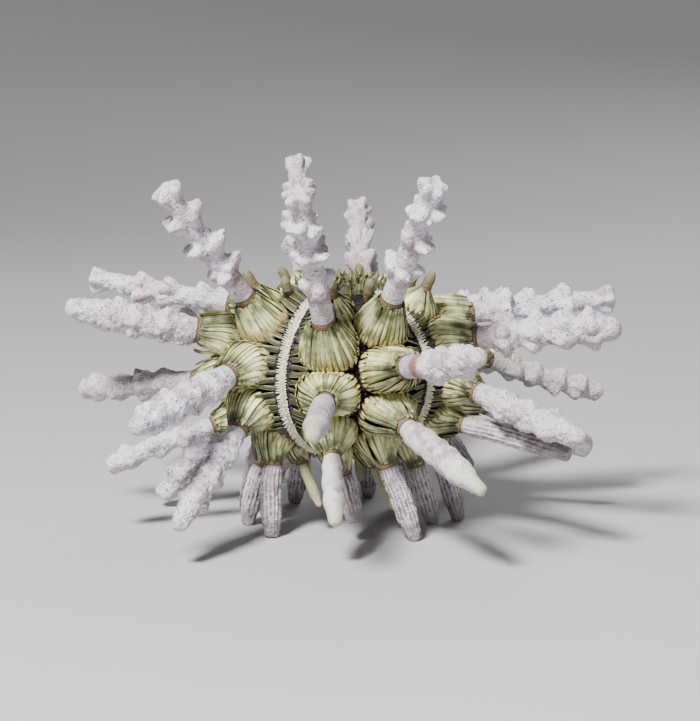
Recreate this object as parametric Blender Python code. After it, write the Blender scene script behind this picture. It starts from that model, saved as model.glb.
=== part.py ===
# Sputnik sea urchin: a dried cidaroid, whole, standing on its short mouth-side spines.
# The test is a low ball of limy plates in five double columns, with a narrow ambulacrum
# between one double column and the next. Each plate carries one primary spine with a cup
# of flat scrobicular spines round its foot. The apical disc closes the top of the test
# and the peristome, with the five teeth, its underside.

import math
import random

import bmesh
import bpy
import numpy as np
from mathutils import Matrix, Vector

OBJECT_NAME = "sputnik_sea_urchin"
MM = 0.001

# The test, a flattened ball with its axis upright
TEST_RADIUS = 19.8 * MM
TEST_HALF_HEIGHT = 13.9 * MM
TEST_CENTRE = Vector((-0.7 * MM, 0.2 * MM, 26.7 * MM))
CORE_SHARE = 0.35
SEAM_GAP = 0.3 * MM

# The five double columns and the ambulacra between them, in degrees round the axis from
# the front (-Y) towards the right (+X)
FIRST_AREA_LONGITUDE = 8.2
AREA_STEP = 72.0
AMBULACRUM_WIDTH = 15.0
COLUMN_WIDTH = (AREA_STEP - AMBULACRUM_WIDTH) / 2
DISC_ARC = 18.6 * MM

# Each column's plates from the top down: the arcs of its upper and lower edge and of its
# spine's foot, measured along the meridian from the equator, and the kind of spine
PLATES = {
    "a": (
        (DISC_ARC, 9.4 * MM, 12.9 * MM, "bud"),
        (9.4 * MM, 2.3 * MM, 5.8 * MM, "whorled"),
        (2.3 * MM, -4.6 * MM, -1.2 * MM, "knobbed"),
        (-4.6 * MM, -11.2 * MM, -8.0 * MM, "ribbed"),
        (-11.2 * MM, -DISC_ARC, -14.3 * MM, "ribbed"),
    ),
    "b": (
        (DISC_ARC, 5.8 * MM, 9.3 * MM, "whorled"),
        (5.8 * MM, -1.2 * MM, 2.3 * MM, "whorled"),
        (-1.2 * MM, -8.0 * MM, -4.6 * MM, "knobbed"),
        (-8.0 * MM, -14.0 * MM, -11.2 * MM, "ribbed"),
        (-14.0 * MM, -DISC_ARC, -16.4 * MM, "adoral"),
    ),
}
SIDE_OF = {"a": -1, "b": 1}
# The spines of another kind than their row's
ODD_KINDS = {
    (2, "a", 3): "crusted",
    (4, "a", 1): "whorled",
    (5, "a", 2): "crusted",
    (5, "a", 4): "knobbed",
    (5, "b", 2): "crusted",
}

# A spine points this many degrees higher than its plate does, and is this long in mm
USUAL_AIM = {
    ("a", 1): (5, 7.0),
    ("a", 2): (-5, 29.0),
    ("a", 3): (0, 28.0),
    ("a", 4): (0, 23.0),
    ("a", 5): (-10, 17.5),
    ("b", 1): (0, 31.0),
    ("b", 2): (-5, 29.0),
    ("b", 3): (-10, 26.0),
    ("b", 4): (-20, 19.5),
    ("b", 5): (-5, 11.0),
}
# The spines that the specimen holds its own way: longitude and elevation in degrees that
# they point to, and length in mm
POSED_AIM = {
    (1, "a", 2): (-17, 59, 30.5),
    (1, "a", 3): (-4, -3, 28.0),
    (1, "a", 4): (4, -43, 18.5),
    (1, "a", 5): (60, -72, 13.0),
    (1, "b", 1): (28, 55, 30.0),
    (1, "b", 2): (26, 12, 30.0),
    (1, "b", 3): (33, -18, 27.0),
    (1, "b", 4): (100, -69, 19.5),
    (1, "b", 5): (110, -62, 13.5),
    (5, "b", 1): (-50, 50, 30.5),
    (5, "b", 2): (-33, -11, 30.0),
    (5, "b", 3): (-30, -36, 27.0),
    (5, "b", 4): (-25, -87, 18.5),
    (5, "b", 5): (70, -67, 11.0),
    (5, "a", 2): (-77, 12, 28.0),
    (5, "a", 3): (-114, -8, 28.0),
    (5, "a", 4): (-77, -20, 24.0),
    (5, "a", 5): (-104, -74, 17.5),
    (2, "a", 2): (65, 7, 30.0),
    (2, "a", 3): (45, -12, 28.0),
    (2, "a", 4): (62, -10, 24.0),
    (2, "a", 5): (134, -68, 18.0),
    (2, "b", 1): (102, 4, 31.0),
    (2, "b", 2): (113, -18, 29.0),
    (2, "b", 3): (97, -24, 26.0),
    (3, "a", 2): (142, 2, 29.0),
    (3, "b", 1): (182, 30, 31.0),
    (4, "b", 1): (258, 9, 31.0),
    (4, "b", 3): (263, -53, 26.0),
    (4, "a", 1): (187, 63, 26.0),
    (4, "a", 2): (211, 2, 29.0),
    (4, "a", 3): (209, -9, 28.0),
}

# The second, stunted spine at the top of each column b
STUNTED_ARC = 15.9 * MM
STUNTED_LENGTH = 4.5 * MM

# The spines' shafts: corners, and the radius at the foot, at the middle and at the tip
ROOT_DEPTH = 1.5 * MM
SHAFTS = {
    "whorled": (8, 1.7 * MM, 1.95 * MM, 1.75 * MM),
    "crusted": (8, 1.7 * MM, 2.35 * MM, 1.8 * MM),
    "knobbed": (6, 1.4 * MM, 1.9 * MM, 1.5 * MM),
    "ribbed": (6, 1.3 * MM, 1.65 * MM, 1.25 * MM),
    "adoral": (6, 1.0 * MM, 1.1 * MM, 0.8 * MM),
    "bud": (6, 0.85 * MM, 0.9 * MM, 0.5 * MM),
}
SHAFT_STATIONS = (0.0, 0.45, 0.8, 1.0)
TIP_BLUNT = 0.9 * MM
TIP_SHARE = 0.6
# A whorl of thorns stands out from the shaft this far, leans this far to the tip, and ends
# in a waist this far beyond it
THORN_REACH = {"whorled": 1.6 * MM, "crusted": 0.55 * MM, "knobbed": 0.6 * MM}
CROWN_FLARE = {"whorled": 0.95 * MM, "crusted": 0.2 * MM, "knobbed": 0.3 * MM}
THORN_LEAN = 0.7 * MM
WAIST_AFTER = 0.6 * MM
WAIST_SHARE = 0.86
WHORLS_FROM = 11.5 * MM
WHORL_STEP = {"whorled": 5.2 * MM, "crusted": 4.6 * MM, "knobbed": 5.6 * MM}
CROWN_SPACE = 0.8
CROWN_SET_BACK = 0.3 * MM

# The cups of scrobicular spines: blades in a cup, their height, and how far their outer
# faces stand from the shaft at the cup's mouth
CUPS = {
    "whorled": (9, 6.2 * MM, 0.85 * MM),
    "crusted": (9, 6.2 * MM, 0.85 * MM),
    "knobbed": (9, 5.6 * MM, 0.85 * MM),
    "ribbed": (8, 5.0 * MM, 0.85 * MM),
    "adoral": (6, 3.0 * MM, 0.8 * MM),
    "bud": (7, 3.6 * MM, 0.8 * MM),
}
CUP_MARGIN = 0.45 * MM
CUP_WIDEST = 4.6 * MM
CUP_LEAN_MOST = 25.0
CUP_MOUTH_SHARE = 0.2
BLADE_WIDTH = 2.1 * MM
BLADE_TAPER = 0.72
BLADE_THICKNESS = 0.65 * MM
BLADE_SPREAD = 0.75
BLADE_ROOT_DEPTH = 1.5 * MM
BLADE_ROOT_TOP = 0.75 * MM

# The ambulacra: a raised comb along the middle, and a row of blades down each side
COMB_HEIGHT = 0.6 * MM
SIDE_BLADE_STEP = 3.2 * MM
SIDE_BLADES = 10
SIDE_BLADE_WIDTH = 1.4 * MM
SIDE_BLADE_RISE = 1.7 * MM
SIDE_BLADE_ROOT = 1.2 * MM
SIDE_BLADE_REACH = 3.6 * MM
SIDE_BLADE_LEAST_REACH = 0.9 * MM
SIDE_BLADE_WANDER = 0.25 * MM
BLADE_CLEARANCE = 0.6 * MM

# The apical disc: five genital and five ocular plates, with small blades on them
GENITAL_ARC = 22.4 * MM
OCULAR_ARC = 20.4 * MM
DISC_PLATE_RADIUS = {"genital": 2.1 * MM, "ocular": 1.2 * MM}
DISC_PLATE_HEIGHT = 0.6 * MM
DISC_PLATE_ROOT = 0.9 * MM
DISC_PLATE_TAPER = 0.8
DISC_BLADE_HEIGHT = 3.8 * MM
DISC_BLADE_WIDTH = 1.1 * MM
DISC_BLADE_SWING = 25.0
DISC_BLADES = ((-17.0, 21.0 * MM), (0.0, GENITAL_ARC), (17.0, 21.0 * MM))
PLUG_OVERSHOOT = 1.4

# The peristome: a ring of small plates, and the five teeth in the mouth
TOOTH_FOOT_RADIUS = 1.7 * MM
TOOTH_POINT_RADIUS = 0.45 * MM
TOOTH_ROOT = 1.5 * MM
TOOTH_LENGTH = 2.6 * MM
TOOTH_WIDTH = 1.5 * MM
TOOTH_THICKNESS = 1.2 * MM
TOOTH_TAPER = 0.35
MOUTH_PLATES = 10
MOUTH_PLATE_ARC = 22.0 * MM
MOUTH_PLATE_RADIUS = 1.15 * MM

SMOOTH_UNDER = math.radians(35)
COLOURS = {
    "whorled": ((0.78, 0.74, 0.78, 1.0), 0.75),
    "crusted": ((0.80, 0.78, 0.79, 1.0), 0.8),
    "knobbed": ((0.74, 0.70, 0.70, 1.0), 0.75),
    "ribbed": ((0.55, 0.50, 0.54, 1.0), 0.7),
    "adoral": ((0.68, 0.64, 0.54, 1.0), 0.6),
    "bud": ((0.42, 0.45, 0.28, 1.0), 0.75),
    "ambulacrum": ((0.36, 0.38, 0.33, 1.0), 0.8),
    "disc": ((0.20, 0.22, 0.14, 1.0), 0.85),
    "mouth": ((0.45, 0.40, 0.33, 1.0), 0.8),
}

# The meridian's arc length as a function of its latitude angle
LATITUDES = np.linspace(0.0, math.pi / 2, 400)
ARC_RATES = np.hypot(TEST_RADIUS * np.sin(LATITUDES), TEST_HALF_HEIGHT * np.cos(LATITUDES))
ARC_STEPS = (ARC_RATES[1:] + ARC_RATES[:-1]) / 2 * np.diff(LATITUDES)
ARCS = np.concatenate([[0.0], np.cumsum(ARC_STEPS)])


def clear_scene():
    for old in list(bpy.data.objects):
        bpy.data.objects.remove(old, do_unlink=True)


def new_collection(name):
    collection = bpy.data.collections.new(name)
    bpy.context.scene.collection.children.link(collection)
    return collection


def latitude_at(arc):
    """Latitude angle of the point this far along a meridian from the equator."""
    return math.copysign(float(np.interp(abs(arc), ARCS, LATITUDES)), arc)


def heading(longitude, elevation):
    """Unit vector to a longitude and an elevation, both in degrees."""
    around, up = math.radians(longitude), math.radians(elevation)
    flat = math.cos(up)
    return Vector((flat * math.sin(around), -flat * math.cos(around), math.sin(up)))


def test_point(longitude, arc, share=1.0):
    """A point of the test's surface, or of a smaller copy of it round the same centre."""
    latitude = latitude_at(arc)
    flat = heading(longitude, 0.0) * TEST_RADIUS * math.cos(latitude)
    return TEST_CENTRE + share * (flat + Vector((0, 0, TEST_HALF_HEIGHT * math.sin(latitude))))


def plate_elevation(arc):
    """The elevation in degrees that the test's surface faces at an arc."""
    latitude = latitude_at(arc)
    rise = math.sin(latitude) / TEST_HALF_HEIGHT
    return math.degrees(math.atan2(rise, math.cos(latitude) / TEST_RADIUS))


def flat_radius(arc):
    return TEST_RADIUS * math.cos(latitude_at(arc))


def mesh_object(name, bm):
    """A mesh object made from bm, with its faces pointing out."""
    bmesh.ops.recalc_face_normals(bm, faces=bm.faces)
    mesh = bpy.data.meshes.new(name)
    bm.to_mesh(mesh)
    bm.free()
    return bpy.data.objects.new(name, mesh)


def loft(name, sections):
    """A closed solid through sections that each have the same number of points."""
    bm = bmesh.new()
    rings = [[bm.verts.new(point) for point in section] for section in sections]
    count = len(rings[0])
    for low, high in zip(rings, rings[1:]):
        for i in range(count):
            j = (i + 1) % count
            bm.faces.new((low[i], low[j], high[j], high[i]))
    bm.faces.new(rings[0])
    bm.faces.new(rings[-1])
    return mesh_object(name, bm)


def across(axis):
    """Two unit vectors square to an axis: level and to its side, and up along it."""
    side = Vector((0, 0, 1)).cross(axis)
    if side.length < 0.05:
        side = Vector((0, 1, 0)).cross(axis)
    side.normalize()
    return side, axis.cross(side)


def test_block(name, west, east, top, bottom, columns, rows, ridge=0.0):
    """A block of the test between two longitudes and two arcs, from its surface inwards.

    A ridge raises the middle of its face."""
    bm = bmesh.new()
    bmesh.ops.create_grid(bm, x_segments=columns, y_segments=rows, size=1.0)
    grid = [vert.co.copy() for vert in bm.verts]
    outer = list(bm.verts)
    grown = bmesh.ops.extrude_face_region(bm, geom=bm.faces[:], use_keep_orig=True)
    inner = [item for item in grown["geom"] if isinstance(item, bmesh.types.BMVert)]
    where = {tuple(round(c, 4) for c in place): place for place in grid}
    for verts, share in ((outer, 1.0), (inner, CORE_SHARE)):
        slack = SEAM_GAP / 2 / share
        for vert in verts:
            place = where[tuple(round(c, 4) for c in vert.co)]
            v = (place.y + 1) / 2
            arc = (bottom + slack) * (1 - v) + (top - slack) * v
            turn = math.degrees(slack / flat_radius(arc))
            u = (place.x + 1) / 2
            longitude = (west + turn) * (1 - u) + (east - turn) * u
            vert.co = test_point(longitude, arc, share)
            if share == 1.0 and abs(place.x) < 0.1 and abs(place.y) < 0.99:
                vert.co += heading((west + east) / 2, plate_elevation(arc)) * ridge
    return mesh_object(name, bm)


def keep_largest_body(mesh):
    """Drop every closed surface but the one with the most faces."""
    bm = bmesh.new()
    bm.from_mesh(mesh)
    left = set(bm.faces)
    bodies = []
    while left:
        reached = [left.pop()]
        body = list(reached)
        while reached:
            face = reached.pop()
            for edge in face.edges:
                for other in edge.link_faces:
                    if other in left:
                        left.remove(other)
                        reached.append(other)
                        body.append(other)
        bodies.append(body)
    bodies.sort(key=len, reverse=True)
    for body in bodies[1:]:
        bmesh.ops.delete(bm, geom=body, context="FACES")
    bm.to_mesh(mesh)
    bm.free()


def apply_modifiers(body):
    bpy.context.view_layer.update()
    evaluated = body.evaluated_get(bpy.context.evaluated_depsgraph_get())
    made = bpy.data.meshes.new_from_object(evaluated)
    body.modifiers.clear()
    body.data = made


def fuse(body, pieces):
    """Join closed pieces to a body with one Boolean union, and drop the pieces."""
    group = new_collection(body.name + "_pieces")
    for piece in pieces:
        group.objects.link(piece)
    union = body.modifiers.new("fuse", "BOOLEAN")
    union.operation = "UNION"
    union.solver = "EXACT"
    union.operand_type = "COLLECTION"
    union.collection = group
    apply_modifiers(body)
    for piece in pieces:
        bpy.data.objects.remove(piece, do_unlink=True)
    bpy.data.collections.remove(group)
    keep_largest_body(body.data)


def cut_at_floor(body):
    """Trim what would pass through the floor, which leaves small flats there."""
    bm = bmesh.new()
    bm.from_mesh(body.data)
    geometry = bm.verts[:] + bm.edges[:] + bm.faces[:]
    cut = bmesh.ops.bisect_plane(
        bm, geom=geometry, plane_co=(0, 0, 0), plane_no=(0, 0, 1), clear_inner=True
    )
    edges = [item for item in cut["geom_cut"] if isinstance(item, bmesh.types.BMEdge)]
    if edges:
        bmesh.ops.holes_fill(bm, edges=edges, sides=0)
        bmesh.ops.recalc_face_normals(bm, faces=bm.faces)
    bm.to_mesh(body.data)
    bm.free()


def finish(body, kind):
    colour, roughness = COLOURS[kind]
    material = bpy.data.materials.new(body.name)
    material.use_nodes = True
    shader = material.node_tree.nodes["Principled BSDF"]
    shader.inputs["Base Color"].default_value = colour
    shader.inputs["Roughness"].default_value = roughness
    shader.inputs["Metallic"].default_value = 0.0
    body.data.materials.clear()
    body.data.materials.append(material)
    body.data.shade_smooth()
    body.data.set_sharp_from_angle(angle=SMOOTH_UNDER)


def spine_aim(area, column, row, longitude, arc):
    """Where a plate's spine points, and its length."""
    if (area, column, row) in POSED_AIM:
        turn, elevation, length = POSED_AIM[area, column, row]
        return heading(turn, elevation), length * MM
    lift, length = USUAL_AIM[column, row]
    return heading(longitude, plate_elevation(arc) + lift), length * MM


def vary(value, spread):
    """The value, up to this share of it more or less."""
    return value * random.uniform(1 - spread, 1 + spread)


def ring(centre, side, up, radii, shift=(0.0,)):
    """Points round a centre, at radii and shifts along the axis that repeat in turn."""
    axis = side.cross(up)
    count = len(radii)
    points = []
    for i, radius in enumerate(radii):
        turn = math.tau * i / count
        out = side * math.cos(turn) + up * math.sin(turn)
        points.append(centre + out * radius + axis * shift[i % len(shift)])
    return points


def shaft_radius(kind, share):
    """The bare shaft's radius at a share of the spine's length."""
    _, foot, middle, tip = SHAFTS[kind]
    return float(np.interp(share, SHAFT_STATIONS, (foot, middle, middle, tip)))


def whorls(foot, axis, length, kind):
    """The sections of a shaft's whorls of thorns, each with its waist, and of its crown."""
    side, up = across(axis)
    corners = SHAFTS[kind][0]
    step = vary(WHORL_STEP[kind], 0.07)
    along = vary(WHORLS_FROM, 0.07)
    odd = random.randrange(2)
    sections = []
    while along < length - CROWN_SPACE * step:
        bare = shaft_radius(kind, along / length)
        thorns = [i % 2 == odd for i in range(corners)]
        radii = [bare + vary(THORN_REACH[kind], 0.18) * thorn for thorn in thorns]
        shift = [THORN_LEAN * thorn for thorn in thorns]
        sections.append(ring(foot + axis * along, side, up, radii, shift))
        radii = [bare * WAIST_SHARE] * corners
        sections.append(ring(foot + axis * (along + WAIST_AFTER), side, up, radii))
        odd = 1 - odd
        along += step
    bare = shaft_radius(kind, 1.0)
    radii = [bare + vary(CROWN_FLARE[kind], 0.15) * (i % 2 == odd) for i in range(corners)]
    sections.append(ring(foot + axis * (length - CROWN_SET_BACK), side, up, radii))
    return sections


def spine_solid(foot, facing, axis, length, kind):
    """A primary spine from its sunk root to its tip."""
    side, up = across(axis)
    corners = SHAFTS[kind][0]
    root = foot - (axis + facing).normalized() * ROOT_DEPTH
    sections = [ring(root, side, up, [shaft_radius(kind, 0.0)] * corners)]
    if kind in THORN_REACH:
        sections += whorls(foot, axis, length, kind)
    else:
        for share in SHAFT_STATIONS[1:-1]:
            radii = [shaft_radius(kind, share)] * corners
            sections.append(ring(foot + axis * length * share, side, up, radii))
        near = length - TIP_BLUNT
        radii = [shaft_radius(kind, near / length)] * corners
        sections.append(ring(foot + axis * near, side, up, radii))
    radii = [shaft_radius(kind, 1.0) * TIP_SHARE] * corners
    sections.append(ring(foot + axis * length, side, up, radii))
    return loft("spine", sections)


def blade(stations):
    """A three-sided blade through stations of centre, width and thickness directions."""
    sections = []
    for centre, wide, thick in stations:
        sections.append([centre - wide / 2, centre + wide / 2, centre - thick])
    return loft("blade", sections)


def cup_blades(foot, facing, axis, wide, tall, kind):
    """The ring of blades round a spine's foot, leaning with the spine to the cup's mouth."""
    count, height, mouth_gap = CUPS[kind]
    side, up = across(facing)
    lean = axis.angle(facing)
    most = math.radians(CUP_LEAN_MOST)
    stand = axis if lean <= most else facing.slerp(axis, most / lean)
    tilt = facing.rotation_difference(stand)
    mouth = shaft_radius(kind, CUP_MOUTH_SHARE) + mouth_gap
    start = random.random()
    pieces = []
    for i in range(count):
        turn = math.tau * (i + start) / count + random.uniform(-0.07, 0.07)
        out = side * math.cos(turn) + up * math.sin(turn)
        base = foot + side * math.cos(turn) * wide + up * math.sin(turn) * tall
        tip = foot + stand * vary(height, 0.08) + tilt @ out * vary(mouth, 0.06)
        tangent = (up * math.cos(turn) - side * math.sin(turn)).normalized()
        width = min(BLADE_WIDTH, math.pi * (wide + tall) / count * BLADE_SPREAD)
        pieces.append(rooted_blade(base, tip, out, tangent * width))
    return pieces


def rooted_blade(base, tip, out, width):
    """A blade with its flat side outwards and its root sunk towards the test's centre."""
    inward = (TEST_CENTRE - base).normalized()
    thick = out * BLADE_THICKNESS
    return blade([
        (base + inward * BLADE_ROOT_DEPTH, width, thick),
        (base + inward * BLADE_ROOT_TOP, width, thick),
        (tip, width * BLADE_TAPER, thick * BLADE_TAPER),
    ])


def cup_half_width(arc):
    half_width = flat_radius(arc) * math.radians(COLUMN_WIDTH / 2)
    return min(half_width - CUP_MARGIN, CUP_WIDEST)


def plate_node(area, column, row, collection):
    """One plate of the test with its spine and its cup."""
    top, bottom, arc, kind = PLATES[column][row - 1]
    middle = FIRST_AREA_LONGITUDE + AREA_STEP * (area - 1)
    side = SIDE_OF[column]
    west = middle - COLUMN_WIDTH if side < 0 else middle
    east = west + COLUMN_WIDTH
    longitude = (west + east) / 2
    body = test_block(f"spine_{area}{column}_{row}", west, east, top, bottom, 2, 2)
    collection.objects.link(body)
    foot = test_point(longitude, arc)
    facing = heading(longitude, plate_elevation(arc))
    axis, length = spine_aim(area, column, row, longitude, arc)
    wide = cup_half_width(arc)
    tall = min(top - arc, arc - bottom) - CUP_MARGIN
    pieces = cup_blades(foot, facing, axis, wide, tall, kind)
    kind = ODD_KINDS.get((area, column, row), kind)
    pieces.append(spine_solid(foot, facing, axis, length, kind))
    if (column, row) == ("b", 1):
        stub_foot = test_point(longitude, STUNTED_ARC)
        stub_facing = heading(longitude, plate_elevation(STUNTED_ARC))
        pieces.append(spine_solid(stub_foot, stub_facing, stub_facing, STUNTED_LENGTH, "bud"))
    fuse(body, pieces)
    cut_at_floor(body)
    finish(body, kind)


def side_blade(middle, side, arc):
    """One blade of an ambulacrum's margin, lying out over the edge of the next column."""
    flat = flat_radius(arc)
    cup_edge = flat * math.radians((AMBULACRUM_WIDTH + COLUMN_WIDTH) / 2) - cup_half_width(arc)
    reach = min(cup_edge - BLADE_CLEARANCE, SIDE_BLADE_REACH)
    reach = max(reach, SIDE_BLADE_LEAST_REACH)
    root = min(SIDE_BLADE_ROOT, 0.5 * reach)
    base = test_point(middle + side * math.degrees(root / flat), arc)
    end = middle + side * math.degrees(reach / flat)
    rise = heading(end, plate_elevation(arc)) * vary(SIDE_BLADE_RISE, 0.15)
    tip = test_point(end, arc) + rise
    along = heading(middle, plate_elevation(arc) + 90.0)
    out = along.cross(tip - base).normalized()
    if out.dot(heading(middle, plate_elevation(arc))) < 0:
        out = -out
    return rooted_blade(base, tip, out, along * SIDE_BLADE_WIDTH)


def ambulacrum_node(area, collection):
    """One ambulacrum with its comb and the blades down both its sides."""
    middle = FIRST_AREA_LONGITUDE + AREA_STEP * (area - 0.5)
    west = middle - AMBULACRUM_WIDTH / 2
    east = middle + AMBULACRUM_WIDTH / 2
    name = f"ambulacrum_{area}"
    body = test_block(name, west, east, DISC_ARC, -DISC_ARC, 2, 10, COMB_HEIGHT)
    collection.objects.link(body)
    pieces = []
    for i in range(SIDE_BLADES):
        arc = (i - (SIDE_BLADES - 1) / 2) * SIDE_BLADE_STEP
        for side in (-1, 1):
            wander = random.uniform(-SIDE_BLADE_WANDER, SIDE_BLADE_WANDER)
            pieces.append(side_blade(middle, side, arc + wander))
    fuse(body, pieces)
    finish(body, "ambulacrum")


def plug(name, up, collection):
    """The part of the test inside the ring of plates, above (up 1) or below (up -1)."""
    bm = bmesh.new()
    bmesh.ops.create_uvsphere(bm, u_segments=15, v_segments=12, radius=1.0)
    bmesh.ops.scale(bm, vec=(TEST_RADIUS, TEST_RADIUS, TEST_HALF_HEIGHT), verts=bm.verts)
    bmesh.ops.translate(bm, vec=TEST_CENTRE, verts=bm.verts)
    body = mesh_object(name, bm)
    rim = flat_radius(DISC_ARC) - SEAM_GAP / 2
    rise = TEST_HALF_HEIGHT * math.sin(latitude_at(DISC_ARC))
    depth = rise * (PLUG_OVERSHOOT - CORE_SHARE)
    bm = bmesh.new()
    bmesh.ops.create_cone(
        bm,
        cap_ends=True,
        segments=15,
        radius1=rim * CORE_SHARE,
        radius2=rim * PLUG_OVERSHOOT,
        depth=depth,
    )
    bmesh.ops.translate(bm, vec=(0, 0, rise * CORE_SHARE + depth / 2), verts=bm.verts)
    if up < 0:
        bmesh.ops.rotate(bm, matrix=Matrix.Rotation(math.pi, 3, "X"), verts=bm.verts)
    bmesh.ops.translate(bm, vec=TEST_CENTRE, verts=bm.verts)
    cone = mesh_object("cone", bm)
    collection.objects.link(body)
    collection.objects.link(cone)
    meet = body.modifiers.new("meet", "BOOLEAN")
    meet.operation = "INTERSECT"
    meet.solver = "EXACT"
    meet.object = cone
    apply_modifiers(body)
    bpy.data.objects.remove(cone, do_unlink=True)
    return body


def disc_plate(longitude, arc, radius, corners):
    """A low raised plate on the test's surface."""
    foot = test_point(longitude, arc)
    facing = heading(longitude, math.copysign(plate_elevation(abs(arc)), arc))
    side, up = across(facing)
    levels = ((-DISC_PLATE_ROOT, radius), (DISC_PLATE_HEIGHT, radius * DISC_PLATE_TAPER))
    sections = [ring(foot + facing * level, side, up, [wide] * corners) for level, wide in levels]
    return loft("plate", sections)


def disc_blade(longitude, arc):
    """A small erect blade on the apical disc."""
    foot = test_point(longitude, arc)
    turn = random.uniform(-DISC_BLADE_SWING, DISC_BLADE_SWING)
    fall = random.uniform(0.0, DISC_BLADE_SWING)
    facing = heading(longitude + turn, plate_elevation(arc) - fall)
    tip = foot + facing * vary(DISC_BLADE_HEIGHT, 0.15)
    side, up = across(facing)
    return rooted_blade(foot, tip, up, side * DISC_BLADE_WIDTH)


def apical_disc_node(collection):
    """The apical disc: genital plates on the double columns' lines, oculars between them."""
    body = plug("apical_disc", 1, collection)
    pieces = []
    for area in range(5):
        middle = FIRST_AREA_LONGITUDE + AREA_STEP * area
        pieces.append(disc_plate(middle, GENITAL_ARC, DISC_PLATE_RADIUS["genital"], 6))
        ocular = middle + AREA_STEP / 2
        pieces.append(disc_plate(ocular, OCULAR_ARC, DISC_PLATE_RADIUS["ocular"], 5))
        for shift, arc in DISC_BLADES:
            pieces.append(disc_blade(middle + shift, arc))
        pieces.append(disc_blade(ocular, OCULAR_ARC))
    fuse(body, pieces)
    finish(body, "disc")


def tooth(longitude):
    """One of the five teeth, from inside the mouth to its point under the axis."""
    out = heading(longitude, 0.0)
    foot = TEST_CENTRE - Vector((0, 0, TEST_HALF_HEIGHT)) + out * TOOTH_FOOT_RADIUS
    point = foot - Vector((0, 0, TOOTH_LENGTH)) - out * (TOOTH_FOOT_RADIUS - TOOTH_POINT_RADIUS)
    wide = heading(longitude + 90.0, 0.0) * TOOTH_WIDTH
    thick = out * TOOTH_THICKNESS
    return blade([
        (foot + Vector((0, 0, TOOTH_ROOT)), wide, thick),
        (foot, wide, thick),
        (point, wide * TOOTH_TAPER, thick * TOOTH_TAPER),
    ])


def peristome_node(collection):
    """The peristome: a ring of small plates round the mouth, and the teeth in it."""
    body = plug("peristome", -1, collection)
    pieces = []
    for i in range(MOUTH_PLATES):
        longitude = FIRST_AREA_LONGITUDE + AREA_STEP * i / 2
        pieces.append(disc_plate(longitude, -MOUTH_PLATE_ARC, MOUTH_PLATE_RADIUS, 5))
    for area in range(5):
        pieces.append(tooth(FIRST_AREA_LONGITUDE + AREA_STEP * area))
    fuse(body, pieces)
    finish(body, "mouth")


clear_scene()
urchin = new_collection(OBJECT_NAME)
random.seed(7)
for area in range(1, 6):
    for column in ("a", "b"):
        for row in range(1, 6):
            plate_node(area, column, row, urchin)
    ambulacrum_node(area, urchin)
apical_disc_node(urchin)
peristome_node(urchin)
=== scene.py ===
import math
from collections import namedtuple

import bpy
import numpy as np
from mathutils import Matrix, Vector, noise as lumps


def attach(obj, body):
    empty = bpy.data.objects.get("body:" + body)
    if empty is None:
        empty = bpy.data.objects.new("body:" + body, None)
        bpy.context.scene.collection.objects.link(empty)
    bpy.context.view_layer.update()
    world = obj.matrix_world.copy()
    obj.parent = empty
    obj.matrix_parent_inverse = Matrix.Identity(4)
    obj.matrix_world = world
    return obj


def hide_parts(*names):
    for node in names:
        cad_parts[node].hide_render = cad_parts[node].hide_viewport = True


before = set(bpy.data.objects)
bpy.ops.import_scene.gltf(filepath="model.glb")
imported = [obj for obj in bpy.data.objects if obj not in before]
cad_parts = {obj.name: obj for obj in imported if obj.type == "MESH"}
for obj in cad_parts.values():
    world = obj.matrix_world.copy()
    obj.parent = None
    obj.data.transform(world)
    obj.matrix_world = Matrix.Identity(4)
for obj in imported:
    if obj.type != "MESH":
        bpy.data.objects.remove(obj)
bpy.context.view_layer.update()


# The table top, the lamps and the camera. The dried specimen stands on a plain pale table
# that runs up into a round backdrop, under a large soft lamp above and in front of it and
# two weaker ones, and is seen from the front at a little above its own height.
MM = 0.001
TEST_CENTRE = Vector((-0.7 * MM, 0.2 * MM, 26.7 * MM))
CAMERA_DISTANCE = 330 * MM
CAMERA_ELEVATION = math.radians(9)
CAMERA_LENS = 99
FRAME_SHIFT_RIGHT = 1.33 * MM
FRAME_SHIFT_UP = 0.92 * MM
TABLE_RADIUS = 0.55
BACKDROP_HEIGHT = 1.6
COVE_RADIUS = 0.9
TABLE_COLOUR = (0.42, 0.42, 0.435, 1)
COVE_STEPS = 18
TABLE_SIDES = 96
ROOM_COLOUR = (0.86, 0.88, 0.92, 1)
ROOM_STRENGTH = 0.11

back = Vector((0, -math.cos(CAMERA_ELEVATION), math.sin(CAMERA_ELEVATION)))
image_up = Vector((0, math.sin(CAMERA_ELEVATION), math.cos(CAMERA_ELEVATION)))
aim = TEST_CENTRE + Vector((FRAME_SHIFT_RIGHT, 0, 0)) + image_up * FRAME_SHIFT_UP
camera = bpy.data.objects.new("camera", bpy.data.cameras.new("camera"))
camera.data.lens = CAMERA_LENS
camera.data.clip_start = 0.01
camera.data.clip_end = 20
camera.location = aim + back * CAMERA_DISTANCE
camera.rotation_euler = (-back).to_track_quat("-Z", "Y").to_euler()
bpy.context.scene.collection.objects.link(camera)
bpy.context.scene.camera = camera


def soft_lamp(name, place, size, watts, colour):
    """A square lamp of this size in metres that faces the specimen."""
    lamp = bpy.data.objects.new(name, bpy.data.lights.new(name, "AREA"))
    lamp.data.size = size
    lamp.data.energy = watts
    lamp.data.color = colour
    lamp.location = place
    lamp.rotation_euler = (TEST_CENTRE - lamp.location).to_track_quat("-Z", "Y").to_euler()
    bpy.context.scene.collection.objects.link(lamp)


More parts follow.
